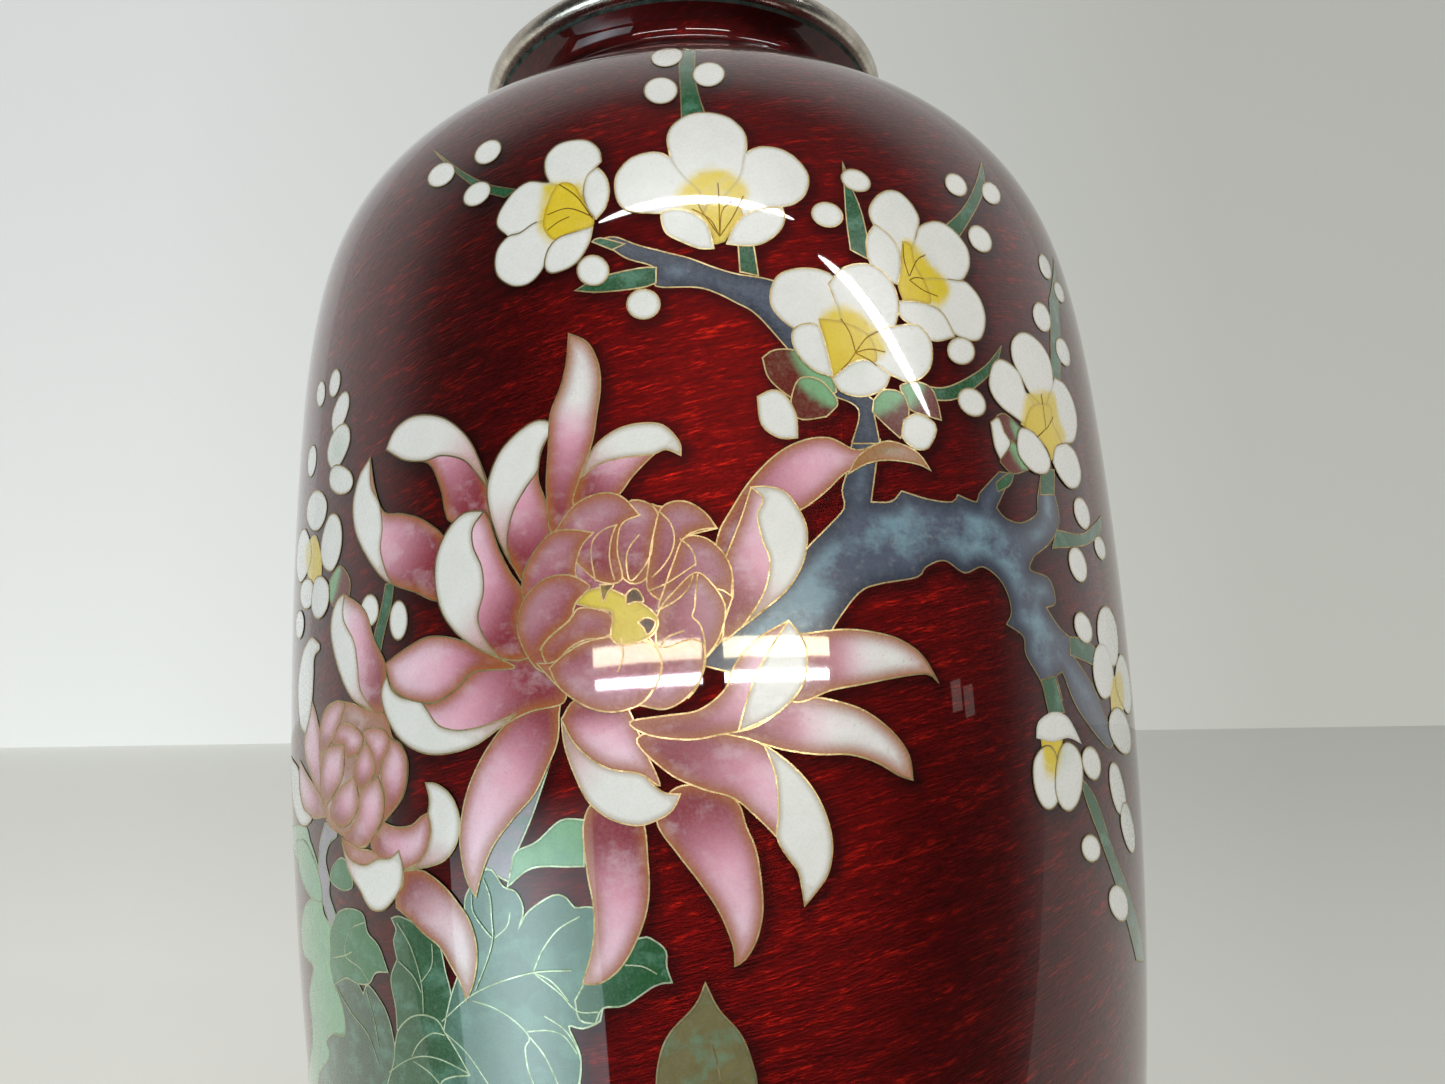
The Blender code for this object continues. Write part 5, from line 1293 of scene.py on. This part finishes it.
BACK_PETALS = {"f": 3, "h": 3}      # so many petals of these blossoms run into each other
for letter, items in edge_groups.items():
    petals = []
    for item in items:
        if isinstance(item[1], str):
            lay_drawn(item, "plum", wired=False)
        else:
            petals.append(item)
    petals.sort(key=lambda item: -item[1][1])
    back = BACK_PETALS.get(letter, 0)
    shapes = [oval_outline(*item[1:]) for item in petals]
    for i, item in enumerate(petals):
        sisters = [shapes[j] for j in range(back) if j != i] if i < back else []
        lay_petal(item, "plum", hearts.get(letter) if i < max(back, 2) else None, sisters)

for item in BUDS:
    lay_petal(item, "buds", None, [])

for item in LEAVES:
    lay_drawn(item, "closed" if item[0] == "bud_closed" else "leaves")

for group, items in (("small", SMALL_CHRYSANTHEMUM), ("chrysanthemum", CHRYSANTHEMUM)):
    ends = None
    for item in items:
        ends = lay_drawn(item, group, ends=ends)


def lift_over(points):
    """Just above whatever is laid under a line."""
    low = points.min(axis=0)
    high = points.max(axis=0)
    highest = 0
    for outline, layer in laid:
        if (outline.min(axis=0) < high).all() and (outline.max(axis=0) > low).all():
            highest = max(highest, layer)
    return BASE_LIFT + highest * LAYER_LIFT + WIRE_LIFT * 1.3


LINE_GROUPS = {"vein": "leaves", "bud": "closed", "stamen": "stamens"}
DROP_BROWN = linear(64, 48, 40)
for name, text in LINES:
    points, _ = drawn(text)
    if name.startswith("drop"):
        points = points[:-1]
        outline = smooth_outline(points, [True] + [False] * (len(points) - 1), 0.4)
        lift = fill(name.replace("wire", "shape"), outline, plain_painter(DROP_BROWN), "yellow")
        add_wire("chrysanthemum", outline, WIRE_WIDTH, lift + WIRE_LIFT)
        continue
    fine = smooth_open(points)
    group = LINE_GROUPS.get(name.split("_")[0], "chrysanthemum")
    width = FINE_WIRE if group in ("leaves", "stamens") else WIRE_WIDTH
    add_wire(group, fine, width, lift_over(fine), closed=False)

WIRE_NAMES = {
    "chrysanthemum": "chrysanthemum_wires", "small": "small_chrysanthemum_wires", "plum": "plum_blossom_wires",
    "branch": "branch_wires", "buds": "bud_wires", "leaves": "leaf_wires", "closed": "closed_bud_wires",
}
WIRE_LOOKS = {"stamens": "stamen", "leaves": "leaf_wire"}
for group, (blocks, faces) in wire_sets.items():
    as_object(WIRE_NAMES.get(group, group), np.concatenate(blocks), faces, WIRE_LOOKS.get(group, "wire"))


# ---- The smooth wall, rims and lining -----------------------------------------------------------------------

def turned(name, section, angles, look, whole=True, bar=False):
    """A section (radius, height in mm) turned round the vase's axis; a bar's section is closed."""
    section = np.asarray(section, float)
    count = len(section)
    rings = len(angles)
    points = []
    for angle in angles:
        points.append(np.stack([section[:, 0] * math.sin(angle), -section[:, 0] * math.cos(angle), section[:, 1]],
                               axis=1))
    faces = []
    for i in range(rings if whole else rings - 1):
        j = (i + 1) % rings
        for k in range(count if bar else count - 1):
            m = (k + 1) % count
            faces.append((i * count + k, j * count + k, j * count + m, i * count + m))
    return as_object(name, np.concatenate(points) * MM, faces, look)


def full_turn(columns):
    """Even angles all the way round."""
    return np.arange(columns) / columns * 2 * math.pi


def add_wall_place(made, angles):
    """Where each point is on the wall's own surface: round it and up along it."""
    place = np.array([(angle * GIRTH_R, 0.0, arc) for angle in angles for arc in arcs]) * MM
    store(made, "wall", "FLOAT_VECTOR", place)


SHADOW_SHIFT = (0.45, -0.55)    # the painted shadow lies a little to the right of the wires and under them, as if cast
SHADOW_REACH = 1.5
NECK_FROM = 228
NECK_DARK = 0.75


def add_shadow_and_neck_dark(made, tree):
    """How dark the ground is: a painted shadow beside the wires, and darker up the neck."""
    values = np.zeros(len(made.data.vertices))
    for i, vertex in enumerate(made.data.vertices):
        x, y, z = vertex.co
        girth = math.atan2(x, -y) * GIRTH_R
        away = tree.find((girth, z / MM, 0))[2]
        neck = NECK_DARK * min(max((z / MM - NECK_FROM) / 5, 0), 1)
        values[i] = max(neck, max(0.0, 1 - max(away - 0.2, 0) / SHADOW_REACH) ** 1.5)
    store(made, "shadow_and_neck_dark", "FLOAT", values)


marks = [point for outline in covered for point in outline]
tree = KDTree(len(marks))
for i, point in enumerate(marks):
    tree.insert((point[0] + SHADOW_SHIFT[0], point[1] + SHADOW_SHIFT[1], 0), i)
tree.balance()

PICTURE_HALF = 84         # the wall is finer within this girth of the middle of the front
WALL_TOP = 239.3
heights = np.concatenate([np.arange(4, 204, 1.0), np.arange(204, 239.4, 0.7), [WALL_TOP]])
radii, _ = wall_radius(heights)
wall_section = np.stack([radii, heights], axis=1)
arcs = np.concatenate([[0], np.cumsum(np.hypot(np.diff(radii), np.diff(heights)))])
half = PICTURE_HALF / GIRTH_R
for name, angles in (("ground_enamel_front", np.linspace(-half, half, 204)),
                     ("ground_enamel_back", np.linspace(half, 2 * math.pi - half, 130))):
    ground = turned(name, wall_section, angles, "red", whole=False)
    add_shadow_and_neck_dark(ground, tree)
    add_wall_place(ground, angles)


def round_section(low_r, high_r, low_z, high_z, corner, steps=6):
    """A rounded bar's section."""
    made = []
    for cx, cz, first in ((high_r - corner, high_z - corner, 0), (low_r + corner, high_z - corner, 90),
                          (low_r + corner, low_z + corner, 180), (high_r - corner, low_z + corner, 270)):
        for k in range(steps + 1):
            angle = math.radians(first + 90 * k / steps)
            made.append((cx + corner * math.cos(angle), cz + corner * math.sin(angle)))
    return made[::-1]


turned("mouth_ring", round_section(31.0, 37.6, 239.4, 243.2, 1.7), full_turn(256), "ring", bar=True)
oxide_section = [(r + 0.06, z) for r, z in zip(wall_radius([238.95, 239.1, WALL_TOP])[0], (238.95, 239.1, 239.35))]
turned("mouth_ring_oxide", oxide_section, full_turn(256), "oxide")
turned("foot_ring", round_section(38.5, 44.7, 0.0, 3.9, 0.9), full_turn(192), "ring", bar=True)

WALL_THICK = 3.8          # from the outside to the lining, along the wall's normal
inner_z = np.append(np.arange(7, 239, 2.0), WALL_TOP)
inner_r, inner_slope = wall_radius(inner_z)
inner_length = np.sqrt(1 + inner_slope ** 2)
lining_section = [(0.0, 6.1), (20.0, 6.1), (36.0, 6.1), (40.0, 6.4)]
lining_section += list(zip(inner_r - WALL_THICK / inner_length, inner_z + WALL_THICK * inner_slope / inner_length))
turned("lining", lining_section[::-1], full_turn(160), "lining")
turned("base_lining", [(0.0, 3.1), (20.0, 3.1), (38.3, 3.1)], full_turn(128), "lining")

for node_name in ("copper_body", "base_plate"):
    carried = bpy.data.objects.get(node_name)
    if carried is not None and carried.type == "MESH":
        carried.data.materials.clear()
        carried.data.materials.append(MATERIALS["copper"])

# ---- Stage, light and camera --------------------------------------------------------------------------------

def plane(name, corners, material):
    """A flat face of the room, which isn't part of the vase."""
    mesh = bpy.data.meshes.new(name)
    mesh.from_pydata(corners, [], [tuple(range(len(corners)))])
    mesh.materials.append(material)
    made = bpy.data.objects.new(name, mesh)
    scene.collection.objects.link(made)
    return made


FAR = 6.6                 # from the vase to the wall behind it, in metres
WIDE = 9
PAD_Z = -0.007
TABLE_TURN = Matrix.Translation((0, 0, PAD_Z)) @ (Matrix.Rotation(math.radians(2.05), 4, "Y")
                                                  @ Matrix.Rotation(math.radians(0.55), 4, "X"))


def tilted(corners):
    """The corners on the table's slope."""
    return [tuple(TABLE_TURN @ Vector(corner)) for corner in corners]


SIDE_SHARE = 0.55         # sideways over depth, where the painted light has changed from one end colour to the other


def painted_light_material(name, left, right_side, glow):
    """A pale surface that glows with painted light, lighter towards the left."""
    g = Graph(name)
    across = g.node("ShaderNodeSeparateXYZ", {"Vector": g.node("ShaderNodeTexCoord").outputs["Object"]})
    share = g.math("DIVIDE", across.outputs["X"], g.math("ADD", across.outputs["Y"], 0.18))
    share = g.spread(share, -SIDE_SHARE, SIDE_SHARE)
    colour = g.mix(share, left, right_side)
    g.link(colour, "Base Color")
    g.link(colour, "Emission Color")
    g.link(glow, "Emission Strength")
    g.link(0.8, "Roughness")
    return g.material


# The table and wall glow, and are painted lighter towards the left as if lit from that side.
table_painted_light = painted_light_material("table_painted_light", linear(242, 243, 237), linear(202, 203, 197), 0.3)
plane("table", tilted([(-WIDE, -0.09, 0), (WIDE, -0.09, 0), (WIDE, FAR, 0), (-WIDE, FAR, 0)]), table_painted_light)
pad_rim = [(-0.09, -0.08), (0.09, -0.08), (0.09, 0.09), (-0.09, 0.09)]
plane("pad", [(x, y, 0) for x, y in pad_rim], table_painted_light)
for (x0, y0), (x1, y1) in zip(pad_rim, pad_rim[1:] + pad_rim[:1]):
    plane("pad_side", [(x0, y0, -0.02), (x1, y1, -0.02), (x1, y1, 0), (x0, y0, 0)], table_painted_light)
plane("wall", tilted([(-WIDE, FAR, 0), (WIDE, FAR, 0), (WIDE, FAR, WIDE), (-WIDE, FAR, WIDE)]),
      painted_light_material("wall_painted_light", linear(216, 219, 218), linear(182, 183, 177), 0.86))


def area_light(name, shape, place, aim, size, power, colour=(1, 1, 1), along=(1, 0, 0)):
    """A lamp at a place, turned to its aim, with its long side along a direction."""
    light = bpy.data.lights.new(name, "AREA")
    light.shape = shape
    light.size, light.size_y = size
    light.energy = power
    light.color = colour
    made = bpy.data.objects.new(name, light)
    away = (Vector(place) - Vector(aim)).normalized()
    across = (Vector(along) - away * away.dot(Vector(along))).normalized()
    made.matrix_world = Matrix.Translation(place) @ Matrix((across, away.cross(across), away)).transposed().to_4x4()
    scene.collection.objects.link(made)


# Long lamps overhead in front, two pairs of low ones, and far panes low on the right.
FAR_PANE = (1.0, 0.9, 0.84), (0.49, 0.87, 0.1)
for lamp in (
    ("lamp_front", "ELLIPSE", (0.03, -0.93, 1.0), (0, 0, 0.19), (0.98, 0.03), 3.9),
    ("lamp_right", "ELLIPSE", (0.82, -0.74, 0.70), (0, 0, 0.17), (0.60, 0.032), 2.3, (1, 1, 1),
     (0.388, 0.251, -0.272)),
    ("lamp_low_left", "RECTANGLE", (-0.345, -1.24, 0.137), (-0.345, 0, 0.13), (0.59, 0.018), 2.0, (0.95, 0.84, 1.0)),
    ("lamp_low_right", "RECTANGLE", (0.35, -1.24, 0.137), (0.35, 0, 0.13), (0.58, 0.018), 2.6),
    ("lamp_warm_left", "RECTANGLE", (-0.345, -1.22, 0.187), (-0.345, 0, 0.13), (0.59, 0.034), 1.4, (1.0, 0.84, 0.62)),
    ("lamp_warm_right", "RECTANGLE", (0.35, -1.22, 0.187), (0.35, 0, 0.13), (0.58, 0.034), 1.7, (1.0, 0.87, 0.58)),
    ("window_far_1", "RECTANGLE", (1.074, -0.624, 0.098), (0, 0, 0.1), (0.06, 0.05), 0.012, *FAR_PANE),
    ("window_far_2", "RECTANGLE", (1.114, -0.560, 0.090), (0, 0, 0.1), (0.06, 0.05), 0.010, *FAR_PANE),
):
    area_light(*lamp)


def soft_window():
    """Daylight that is strongest in the middle and fades towards its top."""
    g = Graph("window_glow")
    parts = g.node("ShaderNodeSeparateXYZ", {"Vector": g.node("ShaderNodeTexCoord").outputs["Generated"]})
    across = g.math("ABSOLUTE", g.math("SUBTRACT", parts.outputs["X"], 0.5))
    middle = g.node("ShaderNodeMapRange", {"Value": across, "From Min": 0.0, "From Max": 0.42, "To Min": 5.6,
                                           "To Max": 2.5}, interpolation_type="SMOOTHSTEP").outputs[0]
    fade = g.node("ShaderNodeMapRange", {"Value": parts.outputs["Z"], "From Min": 1.0, "From Max": 0.72},
                  interpolation_type="SMOOTHSTEP").outputs[0]
    g.link((0, 0, 0, 1), "Base Color")
    g.link((0.76, 0.93, 1.0, 1), "Emission Color")
    g.link(g.math("MULTIPLY", middle, fade), "Emission Strength")
    return g.material


plane("window", [(-1.11, -0.47, -0.62), (-0.57, -1.01, -0.62), (-0.57, -1.01, 0.0), (-1.11, -0.47, 0.0)],
      soft_window())

world = bpy.data.worlds.new("studio")
world.use_nodes = True
scene.world = world
nodes = world.node_tree.nodes
links = world.node_tree.links
background = nodes["Background"]
where = nodes.new("ShaderNodeTexCoord")
parts = nodes.new("ShaderNodeSeparateXYZ")
links.new(where.outputs["Generated"], parts.inputs[0])
ramp = nodes.new("ShaderNodeMapRange")
ramp.inputs["From Min"].default_value = -0.3
ramp.inputs["From Max"].default_value = 0.1
ramp.inputs["To Min"].default_value = 0.03
ramp.inputs["To Max"].default_value = 0.54
ramp.interpolation_type = "SMOOTHSTEP"
links.new(parts.outputs["Y"], ramp.inputs["Value"])
links.new(ramp.outputs[0], background.inputs["Strength"])
background.inputs["Color"].default_value = (1.0, 0.985, 0.96, 1.0)

scene.view_settings.view_transform = "Standard"

CAMERA_AT = Vector((0, -0.18105, 0.12419))
PITCH = math.radians(10.2)
YAW = math.radians(0.94)
ROLL = math.radians(-2.96)
forward = Vector((math.sin(YAW) * math.cos(PITCH), math.cos(YAW) * math.cos(PITCH), math.sin(PITCH)))
right = Vector((math.cos(YAW), -math.sin(YAW), 0))
up = right.cross(forward)
right_rolled = math.cos(ROLL) * right + math.sin(ROLL) * up
up_rolled = -math.sin(ROLL) * right + math.cos(ROLL) * up
camera_data = bpy.data.cameras.new("camera")
camera_data.sensor_width = 36.0
camera_data.lens = 25.41
camera_data.clip_start = 0.01
camera = bpy.data.objects.new("camera", camera_data)
turn = Matrix((right_rolled, up_rolled, -forward)).transposed().to_4x4()
camera.matrix_world = Matrix.Translation(CAMERA_AT) @ turn
scene.collection.objects.link(camera)
scene.camera = camera
